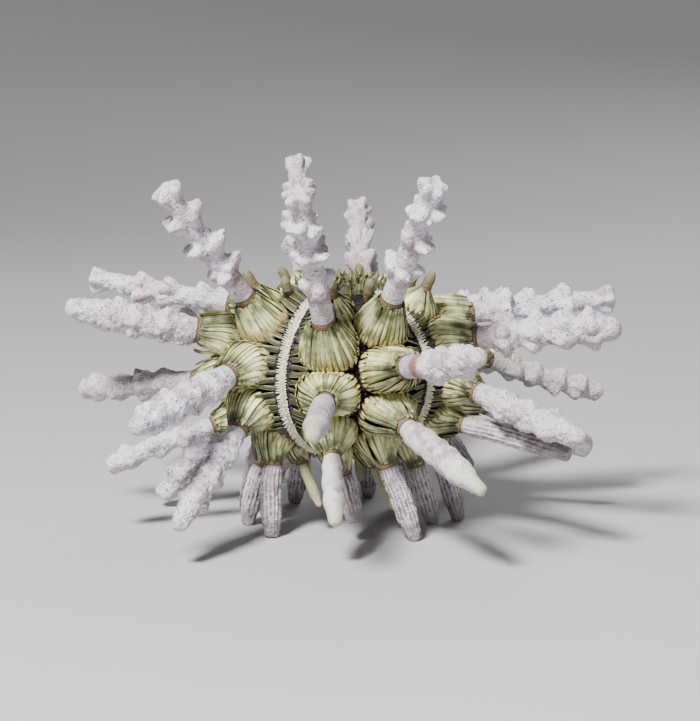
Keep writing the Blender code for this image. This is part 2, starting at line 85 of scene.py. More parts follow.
soft_lamp("key_lamp", Vector((-0.20, -0.40, 0.50)), 0.12, 14.0, (1.0, 0.985, 0.95))
soft_lamp("fill_lamp", Vector((0.55, -0.40, 0.18)), 0.40, 0.6, (0.93, 0.95, 1.0))
soft_lamp("rim_lamp", Vector((0.25, 0.60, 0.45)), 0.30, 2.2, (1.0, 0.99, 1.0))

world = bpy.data.worlds.new("studio")
world.use_nodes = True
room = world.node_tree.nodes["Background"]
room.inputs["Color"].default_value = ROOM_COLOUR
room.inputs["Strength"].default_value = ROOM_STRENGTH
bpy.context.scene.world = world


def node(tree, kind, inputs=None, **settings):
    """A shader node with its settings, whose inputs get a value or another node's socket."""
    made = tree.nodes.new(kind)
    for name, value in settings.items():
        setattr(made, name, value)
    for name, value in (inputs or {}).items():
        if isinstance(value, bpy.types.NodeSocket):
            tree.links.new(value, made.inputs[name])
        else:
            made.inputs[name].default_value = value
    return made


def new_material(name):
    """A material with its node tree and its Principled shader."""
    made = bpy.data.materials.new(name)
    made.use_nodes = True
    return made, made.node_tree, made.node_tree.nodes["Principled BSDF"]


def table_top():
    """The table and its backdrop: one turned sheet, level below and upright outside."""
    profile = [(0.0, 0.0), (TABLE_RADIUS, 0.0)]
    for step in range(1, COVE_STEPS + 1):
        turn = math.radians(90 * step / COVE_STEPS)
        out = TABLE_RADIUS + COVE_RADIUS * math.sin(turn)
        profile.append((out, COVE_RADIUS * (1 - math.cos(turn))))
    profile.append((TABLE_RADIUS + COVE_RADIUS, BACKDROP_HEIGHT))
    mesh = bpy.data.meshes.new("table_top")
    edges = [(i, i + 1) for i in range(len(profile) - 1)]
    mesh.from_pydata([(out, 0, height) for out, height in profile], edges, [])
    table = bpy.data.objects.new("table_top", mesh)
    bpy.context.scene.collection.objects.link(table)
    turned = table.modifiers.new("turned", "SCREW")
    turned.steps = TABLE_SIDES
    turned.render_steps = TABLE_SIDES
    turned.use_merge_vertices = True
    turned.merge_threshold = 0.0001
    turned.use_smooth_shade = True
    paint, tree, shader = new_material("table_paint")
    cloud = node(tree, "ShaderNodeTexNoise", {"Scale": 3.0, "Detail": 2.0}).outputs["Fac"]
    worn = node(tree, "ShaderNodeMapRange", {"Value": cloud, "To Min": 0.72, "To Max": 0.78})
    tree.links.new(worn.outputs["Result"], shader.inputs["Roughness"])
    shader.inputs["Base Color"].default_value = TABLE_COLOUR
    mesh.materials.append(paint)


table_top()


# The plates of the test. The shell is a low ball of limy plates, two rows in each of its
# five double columns, grown edge to edge. Each has a smooth round areole with a boss in its
# middle, on which the spine turned, and dried dark skin over the grains outside it.
TEST_RADIUS = 19.8 * MM
TEST_HALF_HEIGHT = 13.9 * MM
FIRST_AREA_LONGITUDE = 8.2
AREA_STEP = 72.0
AMBULACRUM_WIDTH = 15.0
COLUMN_WIDTH = (AREA_STEP - AMBULACRUM_WIDTH) / 2
DISC_ARC = 18.6 * MM
AREAS = (1, 2, 3, 4, 5)
# Each column's plates from the top down: upper edge, lower edge and spine's foot, in mm of
# arc from the equator
PLATE_ARCS = {
    "a": (
        (18.6, 9.4, 12.9),
        (9.4, 2.3, 5.8),
        (2.3, -4.6, -1.2),
        (-4.6, -11.2, -8.0),
        (-11.2, -18.6, -14.3),
    ),
    "b": (
        (18.6, 5.8, 9.3),
        (5.8, -1.2, 2.3),
        (-1.2, -8.0, -4.6),
        (-8.0, -14.0, -11.2),
        (-14.0, -18.6, -16.4),
    ),
}
SUTURE = 0.08 * MM
PLATE_DEPTH = 1.5 * MM
PLATE_EDGE_DROP = 0.3 * MM
PLATE_GRID = 34
AREOLE_SHARE = 0.8
AREOLE_DEPTH = 0.25 * MM
BOSS_RADIUS = 1.3 * MM
BOSS_HEIGHT = 0.9 * MM
SKIN_COLOUR = (0.003, 0.003, 0.007, 1)
SKIN_RUSTY = (0.011, 0.006, 0.006, 1)
GRAIN_COLOUR = (0.034, 0.030, 0.016, 1)

LATITUDES = np.linspace(0.0, math.pi / 2, 400)
ARC_RATES = np.hypot(TEST_RADIUS * np.sin(LATITUDES), TEST_HALF_HEIGHT * np.cos(LATITUDES))
ARC_STEPS = (ARC_RATES[1:] + ARC_RATES[:-1]) / 2 * np.diff(LATITUDES)
ARCS = np.concatenate([[0.0], np.cumsum(ARC_STEPS)])
rng = np.random.default_rng(23)


def latitude_at(arc):
    """Latitude angles of the points this far along a meridian from the equator."""
    return np.sign(arc) * np.interp(np.abs(arc), ARCS, LATITUDES)


def unit(vectors):
    """These vectors, each made one long."""
    return vectors / np.linalg.norm(vectors, axis=-1, keepdims=True)


def out_of_test(longitude, arc):
    """Unit vectors square to the test's surface, at longitudes in degrees and at arcs."""
    latitude = latitude_at(arc)
    flat = np.cos(latitude) / TEST_RADIUS
    around = np.radians(longitude)
    rise = np.sin(latitude) / TEST_HALF_HEIGHT
    parts = (flat * np.sin(around), -flat * np.cos(around), rise)
    return unit(np.stack(np.broadcast_arrays(*parts), axis=-1))


def on_test(longitude, arc, lift=0.0):
    """Points at this height over the test's surface."""
    latitude = latitude_at(arc)
    flat = TEST_RADIUS * np.cos(latitude)
    around = np.radians(longitude)
    rise = TEST_HALF_HEIGHT * np.sin(latitude)
    parts = (flat * np.sin(around), -flat * np.cos(around), rise)
    ground = np.array(TEST_CENTRE) + np.stack(np.broadcast_arrays(*parts), axis=-1)
    return ground + out_of_test(longitude, arc) * np.asarray(lift)[..., None]


def flat_radius(arc):
    """How far the test's surface is from its axis."""
    return TEST_RADIUS * np.cos(latitude_at(arc))


def across(way):
    """Two unit vectors square to this one: level and to its side, and up along it."""
    side = np.cross((0.0, 0.0, 1.0), way)
    if np.linalg.norm(side) < 0.05:
        side = np.cross((0.0, 1.0, 0.0), way)
    side = unit(side)
    return side, np.cross(way, side)


# Shares of a solid's patch of the bake's map: the strip for each end of a stack, the margin
# of a slab's top and the strip for its wall, and the small round for its underside
END_STRIP = 0.05
SLAB_MARGIN = 0.03
UNDERSIDE_SPOT = (0.012, 0.045)
UNDERSIDE_RADIUS = 0.008
# Edges that turn further than this stay sharp
SHARP_FROM = math.radians(50)


class Pile:
    """Like solids gathered into one mesh, each with its painted values and its own patch of
    the bake's map."""

    def __init__(self):
        self.points = []
        self.quads = []
        self.caps = []
        self.quad_uv = []
        self.cap_uv = []
        self.values = {}
        self.count = 0

    def remember(self, points, values):
        """Keep a solid's points with the values painted on them."""
        self.points.append(points)
        for name, value in values.items():
            self.values.setdefault(name, []).append(np.broadcast_to(value, len(points)))
        self.count += len(points)

    def add_stack(self, rings, patch=(0.0, 0.0, 1.0, 1.0), **values):
        """A solid through rings of points that run round its axis, closed at both ends."""
        rows, sides, _ = rings.shape
        left, foot, width, height = patch
        low, col = np.meshgrid(np.arange(rows - 1), np.arange(sides), indexing="ij")
        quad = []
        spots = []
        for row, column in ((low, col), (low, col + 1), (low + 1, col + 1), (low + 1, col)):
            quad.append(self.count + row * sides + column % sides)
            up = foot + height * (END_STRIP + (1 - 2 * END_STRIP) * row / (rows - 1))
            spots.append(np.stack([left + width * column / sides, up], axis=-1))
        self.quads.append(np.stack(quad, axis=-1).reshape(-1, 4))
        self.quad_uv.append(np.stack(spots, axis=2).reshape(-1, 2))
        for first, order, level in ((0, -1, 0.0), ((rows - 1) * sides, 1, 1 - END_STRIP)):
            turn = np.arange(sides)[::order]
            self.caps.append((self.count + first + turn).tolist())
            angle = turn * math.tau / sides
            spot = np.stack([0.5 + 0.45 * np.cos(angle), 0.5 + 0.45 * np.sin(angle)], axis=-1)
            corner = (left, foot + height * level)
            self.cap_uv.append(spot * (width, height * END_STRIP) + corner)
        flat = {}
        for name, value in values.items():
            flat[name] = np.broadcast_to(value, (rows, sides)).reshape(-1)
        self.remember(rings.reshape(-1, 3), flat)

    def add_slab(self, top, under, **values):
        """A closed slab: a grid of points on top, and one face on the points under its rim."""
        rows, columns, _ = top.shape
        low, col = np.meshgrid(np.arange(rows - 1), np.arange(columns - 1), indexing="ij")
        quad = []
        spots = []
        for row, column in ((low, col), (low, col + 1), (low + 1, col + 1), (low + 1, col)):
            quad.append(self.count + row * columns + column)
            right = SLAB_MARGIN + (1 - 2 * SLAB_MARGIN) * column / (columns - 1)
            up = 2 * SLAB_MARGIN + (1 - 3 * SLAB_MARGIN) * row / (rows - 1)
            spots.append(np.stack([right, up], axis=-1))
        self.quads.append(np.stack(quad, axis=-1).reshape(-1, 4))
        self.quad_uv.append(np.stack(spots, axis=2).reshape(-1, 2))
        grid = np.arange(rows * columns).reshape(rows, columns)
        rim = np.concatenate([grid[0, :-1], grid[:-1, -1], grid[-1, :0:-1], grid[:0:-1, 0]])
        sunk = rows * columns + np.arange(len(rim))
        after = np.roll(np.arange(len(rim)), -1)
        wall = np.stack([sunk, sunk[after], rim[after], rim], axis=-1)
        self.quads.append(self.count + wall)
        share = np.arange(len(rim)) / len(rim)
        next_share = share + 1 / len(rim)
        spots = []
        for right, up in ((share, 0), (next_share, 0), (next_share, 1), (share, 1)):
            spots.append(np.stack([right, np.full(len(rim), up * SLAB_MARGIN)], axis=-1))
        self.quad_uv.append(np.stack(spots, axis=1).reshape(-1, 2))
        self.caps.append((self.count + sunk[::-1]).tolist())
        angle = np.arange(len(rim)) * math.tau / len(rim)
        spot = np.stack([np.cos(angle), np.sin(angle)], axis=-1)
        self.cap_uv.append(spot * UNDERSIDE_RADIUS + UNDERSIDE_SPOT)
        flat = {}
        for name, value in values.items():
            value = np.broadcast_to(value, (rows, columns)).reshape(-1)
            flat[name] = np.concatenate([value, value[rim]])
        points = np.concatenate([top.reshape(-1, 3), under.reshape(-1, 3)[rim]])
        self.remember(points, flat)

    def piece(self, name, material, stands_for):
        """The mesh object of all that was added, which stands for this node."""
        mesh = bpy.data.meshes.new(name)
        quads = np.concatenate(self.quads)
        mesh.from_pydata(np.concatenate(self.points), [], quads.tolist() + self.caps)
        bake_map = mesh.uv_layers.new(name="OFBake")
        spots = np.concatenate(self.quad_uv + self.cap_uv).astype(np.float32)
        bake_map.data.foreach_set("uv", spots.ravel())
        for value_name, parts in self.values.items():
            layer = mesh.attributes.new(value_name, "FLOAT", "POINT")
            layer.data.foreach_set("value", np.concatenate(parts).astype(np.float32))
        mesh.materials.append(material)
        mesh.shade_smooth()
        mesh.set_sharp_from_angle(angle=SHARP_FROM)
        made = bpy.data.objects.new(name, mesh)
        bpy.context.scene.collection.objects.link(made)
        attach(made, "root")
        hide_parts(stands_for)


def effect(name, inputs, outputs):
    """An empty shader node group with these sockets, and its two ends."""
    kinds = {"value": "NodeSocketFloat", "colour": "NodeSocketColor"}
    made = bpy.data.node_groups.new(name, "ShaderNodeTree")
    for socket, kind in inputs.items():
        made.interface.new_socket(socket, in_out="INPUT", socket_type=kinds[kind])
    for socket, kind in outputs.items():
        made.interface.new_socket(socket, in_out="OUTPUT", socket_type=kinds[kind])
    return made, made.nodes.new("NodeGroupInput"), made.nodes.new("NodeGroupOutput")


def painted(tree, name):
    """The socket of a value painted on the mesh."""
    return node(tree, "ShaderNodeAttribute", attribute_name=name).outputs["Fac"]


def spread(tree, value, low, high, to_low=0.0, to_high=1.0):
    """The value stretched from low-high to these ends, smoothly."""
    inputs = {
        "Value": value,
        "From Min": low,
        "From Max": high,
        "To Min": to_low,
        "To Max": to_high,
    }
    made = node(tree, "ShaderNodeMapRange", inputs, interpolation_type="SMOOTHSTEP")
    return made.outputs["Result"]


def maths(tree, operation, first, second=0.0):
    """The outcome of one operation on two values."""
    made = node(tree, "ShaderNodeMath", {0: first, 1: second}, operation=operation)
    return made.outputs["Value"]


def plus(tree, first, second):
    """Two values added up."""
    return maths(tree, "ADD", first, second)


def times(tree, first, second):
    """Two values multiplied."""
    return maths(tree, "MULTIPLY", first, second)


def blended(tree, share, first, second):
    """Two colours mixed by a share of the second."""
    made = node(tree, "ShaderNodeMix", data_type="RGBA")
    for index, value in ((0, share), (6, first), (7, second)):
        if isinstance(value, bpy.types.NodeSocket):
            tree.links.new(value, made.inputs[index])
        else:
            made.inputs[index].default_value = value
    return made.outputs[2]


def noise(tree, scale, detail=3.0, rough=0.55):
    """Cloudy values with this many waves in a metre."""
    where = node(tree, "ShaderNodeTexCoord").outputs["Object"]
    inputs = {"Vector": where, "Scale": scale, "Detail": detail, "Roughness": rough}
    return node(tree, "ShaderNodeTexNoise", inputs).outputs["Fac"]


def finished(look, colour, roughness, height, strength, depth, specular=0.5):
    """The material, once its colour, roughness and fine relief are led to its shader."""
    material, tree, shader = look
    tree.links.new(colour, shader.inputs["Base Color"])
    tree.links.new(roughness, shader.inputs["Roughness"])
    shader.inputs["Specular IOR Level"].default_value = specular
    inputs = {"Height": height, "Strength": strength, "Distance": depth}
    relief = node(tree, "ShaderNodeBump", inputs)
    tree.links.new(relief.outputs["Normal"], shader.inputs["Normal"])
    return material


def grains(tree, scale):
    """How far each place is from the middle of its grain, with this many in a metre."""
    where = node(tree, "ShaderNodeTexCoord").outputs["Object"]
    inputs = {"Vector": where, "Scale": scale}
    return node(tree, "ShaderNodeTexVoronoi", inputs).outputs["Distance"]


def dried_skin():
    """The wrinkled remains of skin, with the plate's limy grains showing through it."""
    made, start, end = effect(
        "dried_skin",
        {"Grain Scale": "value", "Bareness": "value"},
        {"Grains": "value", "Wrinkles": "value", "Height": "value"},
    )
    far = grains(made, start.outputs["Grain Scale"])
    round_top = spread(made, far, 0.15, 0.55, 1.0, 0.0)
    cloud = noise(made, 500)
    bare = times(made, spread(made, cloud, 0.35, 0.7), start.outputs["Bareness"])
    creases = noise(made, 2600, 4.0, 0.65)
    made.links.new(times(made, round_top, bare), end.inputs["Grains"])
    made.links.new(creases, end.inputs["Wrinkles"])
    low = times(made, creases, 0.45)
    made.links.new(plus(made, round_top, low), end.inputs["Height"])
    return made


DRIED_SKIN = dried_skin()


def skinned_lime(name, grain_scale, bareness, colours, relief, specular=0.5, mask=None):
    """Wrinkled skin of two colours over limy grains of a third. A mask names a painted
    value, where it begins and ends, and the colour that it lays over them."""
    look = new_material(name)
    tree = look[1]
    inputs = {"Grain Scale": grain_scale, "Bareness": bareness}
    skin = node(tree, "ShaderNodeGroup", inputs, node_tree=DRIED_SKIN)
    wrinkles = skin.outputs["Wrinkles"]
    dark, light, grain = colours
    colour = blended(tree, wrinkles, dark, light)
    colour = blended(tree, skin.outputs["Grains"], colour, grain)
    if mask:
        value, ends, over = mask
        colour = blended(tree, spread(tree, painted(tree, value), *ends), colour, over)
    roughness = spread(tree, wrinkles, 0.3, 0.7, 0.5, 0.8)
    return finished(look, colour, roughness, skin.outputs["Height"], *relief, specular)


PLATE_COLOURS = (SKIN_COLOUR, SKIN_RUSTY, GRAIN_COLOUR)
PLATE_SKIN = skinned_lime("skinned_plate", 1900, 1.0, PLATE_COLOURS, (0.8, 0.12 * MM), 0.15)


def plate_span(area, column, row):
    """A plate's west and east edges in degrees, and its top, bottom and foot arcs."""
    middle = FIRST_AREA_LONGITUDE + AREA_STEP * (area - 1)
    west = middle - COLUMN_WIDTH if column == "a" else middle
    top, bottom, arc = PLATE_ARCS[column][row - 1]
    return west, west + COLUMN_WIDTH, top * MM, bottom * MM, arc * MM


def test_plate(area, column, row):
    """A curved slab between sutures, with its sunk areole and the boss under the spine."""
    west, east, top, bottom, foot = plate_span(area, column, row)
    share = np.linspace(0.0, 1.0, PLATE_GRID)
    right, up = np.meshgrid(share, share)
    arc = bottom + SUTURE / 2 + (top - bottom - SUTURE) * up
    slack = np.degrees(SUTURE / 2 / flat_radius(arc))
    longitude = west + slack + (east - west - 2 * slack) * right
    edge = np.maximum(np.abs(2 * right - 1), np.abs(2 * up - 1))
    aside = flat_radius(arc) * np.radians(longitude - (west + east) / 2)
    near = np.hypot(aside, arc - foot)
    reach = AREOLE_SHARE * min(top - foot, foot - bottom)
    lift = -PLATE_EDGE_DROP * edge**6
    lift = lift - AREOLE_DEPTH / (1 + (near / reach) ** 8)
    lift = lift + BOSS_HEIGHT / (1 + (near / BOSS_RADIUS) ** 4)
    pile = Pile()
    pile.add_slab(on_test(longitude, arc, lift), on_test(longitude, arc, -PLATE_DEPTH))
    name = f"plate_{area}{column}{row}"
    pile.piece(name, PLATE_SKIN, f"spine_{area}{column}_{row}")


PLATES = [(area, column, row) for area in AREAS for column in "ab" for row in range(1, 6)]
for plate in PLATES:
    test_plate(*plate)


# The primary spines. Each is one crystal of lime with a rough grey-white crust, turned in
# life on the boss by the muscle round it. Those of the sides carry whorls of blunt thorns and
# end in a crown, those towards the mouth are ribbed or smooth, and all have a tan collar.
ROW_STRETCH = 1.3
TIP_ROWS = 14
SPINE_START = 0.55 * MM
# How each kind grew, in mm: its radii at the foot, the middle and the tip, its thorns' reach,
# the step between whorls of them, the thorns in a whorl, the crown's lobes and their reach,
# the warts and their height, the swelling under a whorl, the ribs, the round end, the grit.
# The last number is how many faces go round the shaft.
Habit = namedtuple(
    "Habit", "radii thorn step thorns lobes flare warts wart swell ribs end grit sides"
)
HABITS = {
    "thorny": Habit((1.85, 1.68, 1.45), 2.15, 5.5, 5, 5, 1.20, 60, 0.22, 0.10, 0, 0.9, 0.5, 76),
    "whorled": Habit((1.90, 1.95, 1.90), 1.40, 5.0, 6, 0, 0.0, 90, 0.24, 0.40, 0, 2.0, 0.8, 80),
    "beaded": Habit((1.60, 1.75, 1.50), 1.05, 4.7, 5, 4, 0.4, 60, 0.26, 0.25, 0, 1.2, 0.6, 72),
    "warty": Habit((1.80, 2.10, 1.40), 0.80, 4.7, 5, 0, 0.0, 260, 0.28, 0.28, 0, 1.4, 0.9, 84),
    "ribbed": Habit((1.28, 1.58, 1.00), 0.0, 0.0, 0, 0, 0.35, 0, 0.0, 0.0, 14, 0.4, 0.9, 84),
    "smooth": Habit((1.35, 1.50, 1.15), 0.22, 3.4, 2, 0, 0.0, 6, 0.08, 0.30, 0, 1.3, 0.2, 52),
    "tapered": Habit((1.45, 1.66, 0.85), 0.24, 3.3, 3, 0, 0.0, 60, 0.12, 0.36, 0, 1.0, 0.6, 64),
    "ivory": Habit((1.05, 0.82, 0.42), 0.0, 0.0, 0, 0, 0.0, 0, 0.0, 0.0, 12, 0.5, 0.1, 72),
    "bud": Habit((0.80, 0.90, 0.50), 0.0, 0.0, 0, 0, 0.0, 5, 0.12, 0.0, 0, 0.8, 0.3, 40),
}
ROW_HABITS = {
    "a": ("bud", "thorny", "beaded", "ribbed", "ribbed"),
    "b": ("thorny", "thorny", "beaded", "ribbed", "ivory"),
}
# The spines that grew another way, with their girth beside the usual one
ODD_SPINES = {
    (1, "a", 3): ("smooth", 1.0),
    (1, "a", 4): ("smooth", 0.9),
    (1, "b", 2): ("warty", 0.92),
    (1, "b", 3): ("tapered", 1.0),
    (2, "a", 2): ("whorled", 1.0),
    (2, "a", 3): ("warty", 0.88),
    (2, "b", 2): ("beaded", 0.84),
    (4, "a", 1): ("thorny", 0.95),
    (5, "a", 2): ("warty", 1.05),
    (5, "a", 3): ("beaded", 0.95),
    (5, "a", 4): ("beaded", 0.78),
    (5, "b", 2): ("warty", 1.0),
    (5, "b", 3): ("warty", 0.85),
}
# The spines with a rusty band over the collar, and those with a duller crust, partly their own
# colour and partly painted shade
BANDED_SPINES = {
    (1, "a", 2): 0.55,
    (1, "b", 1): 0.35,
    (1, "b", 2): 0.9,
    (3, "b", 1): 0.4,
    (5, "b", 1): 0.3,
}
DULL_SPINES = {
    (1, "a", 3),
    (2, "a", 3),
    (2, "a", 4),
    (2, "b", 2),
    (3, "b", 1),
    (4, "a", 1),
    (5, "a", 3),
}
# The short spines beyond the primary ones: their column, the plate they stand on, their arc,
# droop, length, girth, bare foot, lime and slot
SHORT_SPINES = {
    "stunted": ("b", 1, 15.9, 0.0, 4.5, 0.9, 1.6, "bud_lime", "bud_spine"),
    "last": ("a", 5, -18.0, 0.25, 5.0, 0.85, 0.6, "ribbed_lime", "mouth_side_spine"),
}
CUP_HEIGHTS = {"a": (3.6, 6.4, 5.8, 5.2, 5.0), "b": (6.4, 6.4, 5.8, 5.2, 3.2)}
CUP_LEANING = 0.25
SHAFT_STATIONS = (0.0, 0.45, 0.8, 1.0)
TIP_ROLL = math.radians(84)
# In mm: what reaches further than the first is a thorn, less than the second a low swelling
POINTED_OVER = 1.5
SWELLING_UNDER = 0.5
# How far a lump runs down the shaft, up it and to each side
THORN_SLOPES = (2.8 * MM, 1.05 * MM, 1.05 * MM)
THORN_LOBE_SLOPES = (1.8 * MM, 0.75 * MM, 0.62 * MM)
KNOB_SLOPES = (1.5 * MM, 0.9 * MM, 0.85 * MM)
SWELLING_SLOPES = (2.0 * MM, 1.7 * MM, 1.7 * MM)
CROWN_SLOPES = (2.2 * MM, 1.5 * MM, 1.0 * MM)
THORN_LEAN = 0.3 * MM
FIRST_WHORL = 6.0 * MM
FIRST_SWELLING = 2.6 * MM
BARE_TIP = 2.4 * MM
RIB_HEIGHT = 0.24 * MM
TOOTH_STEP = 0.8 * MM
COLLAR_LIFT = 0.09 * MM
COARSE_GRIT = 1.1 * MM
FINE_GRIT = 0.5 * MM
# How far a spine bows to the side, in mm
SPINE_BOW = 0.35
# The rusty band, in mm over the cup: its middle, its half height, where the lumps begin
# above a whole one, and how far it moves the whorls up
BAND_MIDDLE = 5.0
BAND_HALF = 1.1
BAND_SPACE = 5.4
BAND_SHIFT = 2.6
BAND_PINK = (0.21, 0.10, 0.095, 1)
SPECK = (0.055, 0.032, 0.05, 1)
COLLAR_TAN = (0.17, 0.12, 0.062, 1)
COLLAR_RED = (0.065, 0.030, 0.018, 1)
# Each lime's crust, its hollows' colour (partly its own, partly painted shade), its blush, the
# duller colour that its spines are mixed towards by their tone (on the dull spines partly
# painted shade) and its tip, where along a spine the tip's colour begins, how much of it
# shows, the grains in a metre, the pits, and its relief in mm
SPINE_LIMES = {
    "crusted_lime": (
        (0.65, 0.63, 0.70, 1),
        (0.21, 0.17, 0.24, 1),
        (0.28, 0.16, 0.17, 1),
        (0.36, 0.30, 0.27, 1),
        (0.54, 0.53, 0.45, 1),
        (0.92, 0.4, 3000, 0.85, 0.13),
    ),
    "ribbed_lime": (
        (0.70, 0.67, 0.73, 1),
        (0.11, 0.08, 0.12, 1),
        (0.22, 0.14, 0.12, 1),
        (0.36, 0.30, 0.27, 1),
        (0.25, 0.235, 0.215, 1),
        (0.66, 0.65, 3800, 0.7, 0.08),
    ),
    "smooth_lime": (
        (0.67, 0.66, 0.60, 1),
        (0.33, 0.29, 0.33, 1),
        (0.085, 0.05, 0.11, 1),
        (0.25, 0.20, 0.29, 1),
        (0.40, 0.43, 0.30, 1),
        (0.74, 0.8, 4200, 0.4, 0.05),
    ),
    "ivory_lime": (
        (0.42, 0.42, 0.26, 1),
        (0.21, 0.21, 0.11, 1),
        (0.24, 0.19, 0.10, 1),
        (0.30, 0.28, 0.18, 1),
        (0.60, 0.59, 0.44, 1),
        (0.70, 0.6, 4200, 0.15, 0.05),
    ),
    "bud_lime": (
        (0.16, 0.155, 0.08, 1),
        (0.060, 0.058, 0.030, 1),
        (0.15, 0.10, 0.06, 1),
        (0.12, 0.10, 0.06, 1),
        (0.22, 0.215, 0.12, 1),
        (0.8, 0.5, 3800, 0.4, 0.06),
    ),
}
# Each kind's lime and slot
KIND_LOOKS = {
    "thorny": ("crusted_lime", "whorled_spine"),
    "whorled": ("crusted_lime", "whorled_spine"),
    "beaded": ("crusted_lime", "knobbed_spine"),
    "warty": ("crusted_lime", "whorled_spine"),
    "ribbed": ("ribbed_lime", "mouth_side_spine"),
    "smooth": ("smooth_lime", "mouth_side_spine"),
    "tapered": ("smooth_lime", "mouth_side_spine"),
    "ivory": ("ivory_lime", "mouth_side_spine"),
    "bud": ("bud_lime", "bud_spine"),
}


def step_up(value, low, high):
    """0 below low, 1 above high, smoothly between."""
    share = np.clip((value - low) / (high - low), 0.0, 1.0)
    return share * share * (3 - 2 * share)


def lumpy(points, size, seed):
    """Cloudy values from -1 to 1 at these points, in lumps of this size."""
    flat = points.reshape(-1, 3) / size + seed
    return np.array([lumps.noise(place) for place in flat.tolist()]).reshape(points.shape[:-1])


def lump_field(along, turn, radius, places, pointed=False):
    """The relief of lumps: place along, turn, height, slope below, slope above, half width."""
    field = np.zeros_like(along)
    for place, angle, height, below, above, half in places:
        rise = along - place
        rise = np.where(rise < 0, rise / below, rise / above)
        aside = (np.mod(turn - angle + math.pi, math.tau) - math.pi) * radius / half
        far = np.hypot(rise, aside)
        bell = 0.5 + 0.5 * np.cos(math.pi * np.clip(far / 1.16, 0, 1))
        shape = bell if pointed else np.exp(-(far**2.5))
        field += (height * shape) ** 4
    return field**0.25


def whorls_of(kind, length, cup):
    """Thorns or knobs in whorls up the shaft, the crown's lobes, and scattered warts."""
    thorns = []
    levels = []
    pointed = kind.thorn > POINTED_OVER
    low = kind.thorn < SWELLING_UNDER
    slopes = THORN_SLOPES if pointed else SWELLING_SLOPES if low else KNOB_SLOPES
    at = cup + (FIRST_SWELLING if low else FIRST_WHORL) + rng.uniform(-0.5, 0.6) * MM
    last = length - (1.0 if low else 0.72) * kind.step * MM
    while kind.thorn and at < last:
        levels.append(at)
        number = kind.thorns + int(rng.integers(-1, 2))
        start = rng.uniform(0, math.tau)
        for i in range(number):
            angle = start + math.tau * i / number + rng.normal(0, 0.2)
            place = min(at + rng.normal(0, 0.42) * MM, length - 1.2 * MM)
            height = kind.thorn * rng.uniform(0.4, 1.06) * MM
            thorns.append((place, angle, height, *slopes))
            for _ in range(2 if pointed else 0):
                beside_it = angle + rng.choice((-1, 1)) * rng.uniform(0.25, 0.5)
                lower = place - rng.uniform(-0.25, 0.6) * MM
                lobe_height = height * rng.uniform(0.6, 0.95)
                thorns.append((lower, beside_it, lobe_height, *THORN_LOBE_SLOPES))
        at += kind.step * rng.uniform(0.86, 1.14) * MM
    start = rng.uniform(0, math.tau)
    for i in range(kind.lobes):
        angle = start + math.tau * i / kind.lobes + rng.normal(0, 0.12)
        height = kind.flare * rng.uniform(0.75, 1.1) * MM
        place = length - rng.uniform(1.15, 1.5) * MM
        thorns.append((place, angle, height, *CROWN_SLOPES))
    small = []
    for _ in range(kind.warts):
        size = rng.uniform(0.2, 0.45) * MM
        height = kind.wart * rng.uniform(0.4, 1.0) * MM
        place = rng.uniform(cup + 1.5 * MM, max(cup + 2.0 * MM, length - BARE_TIP))
        small.append((place, rng.uniform(0, math.tau), height, size * 1.2, size, size))
    return thorns, small, levels, pointed


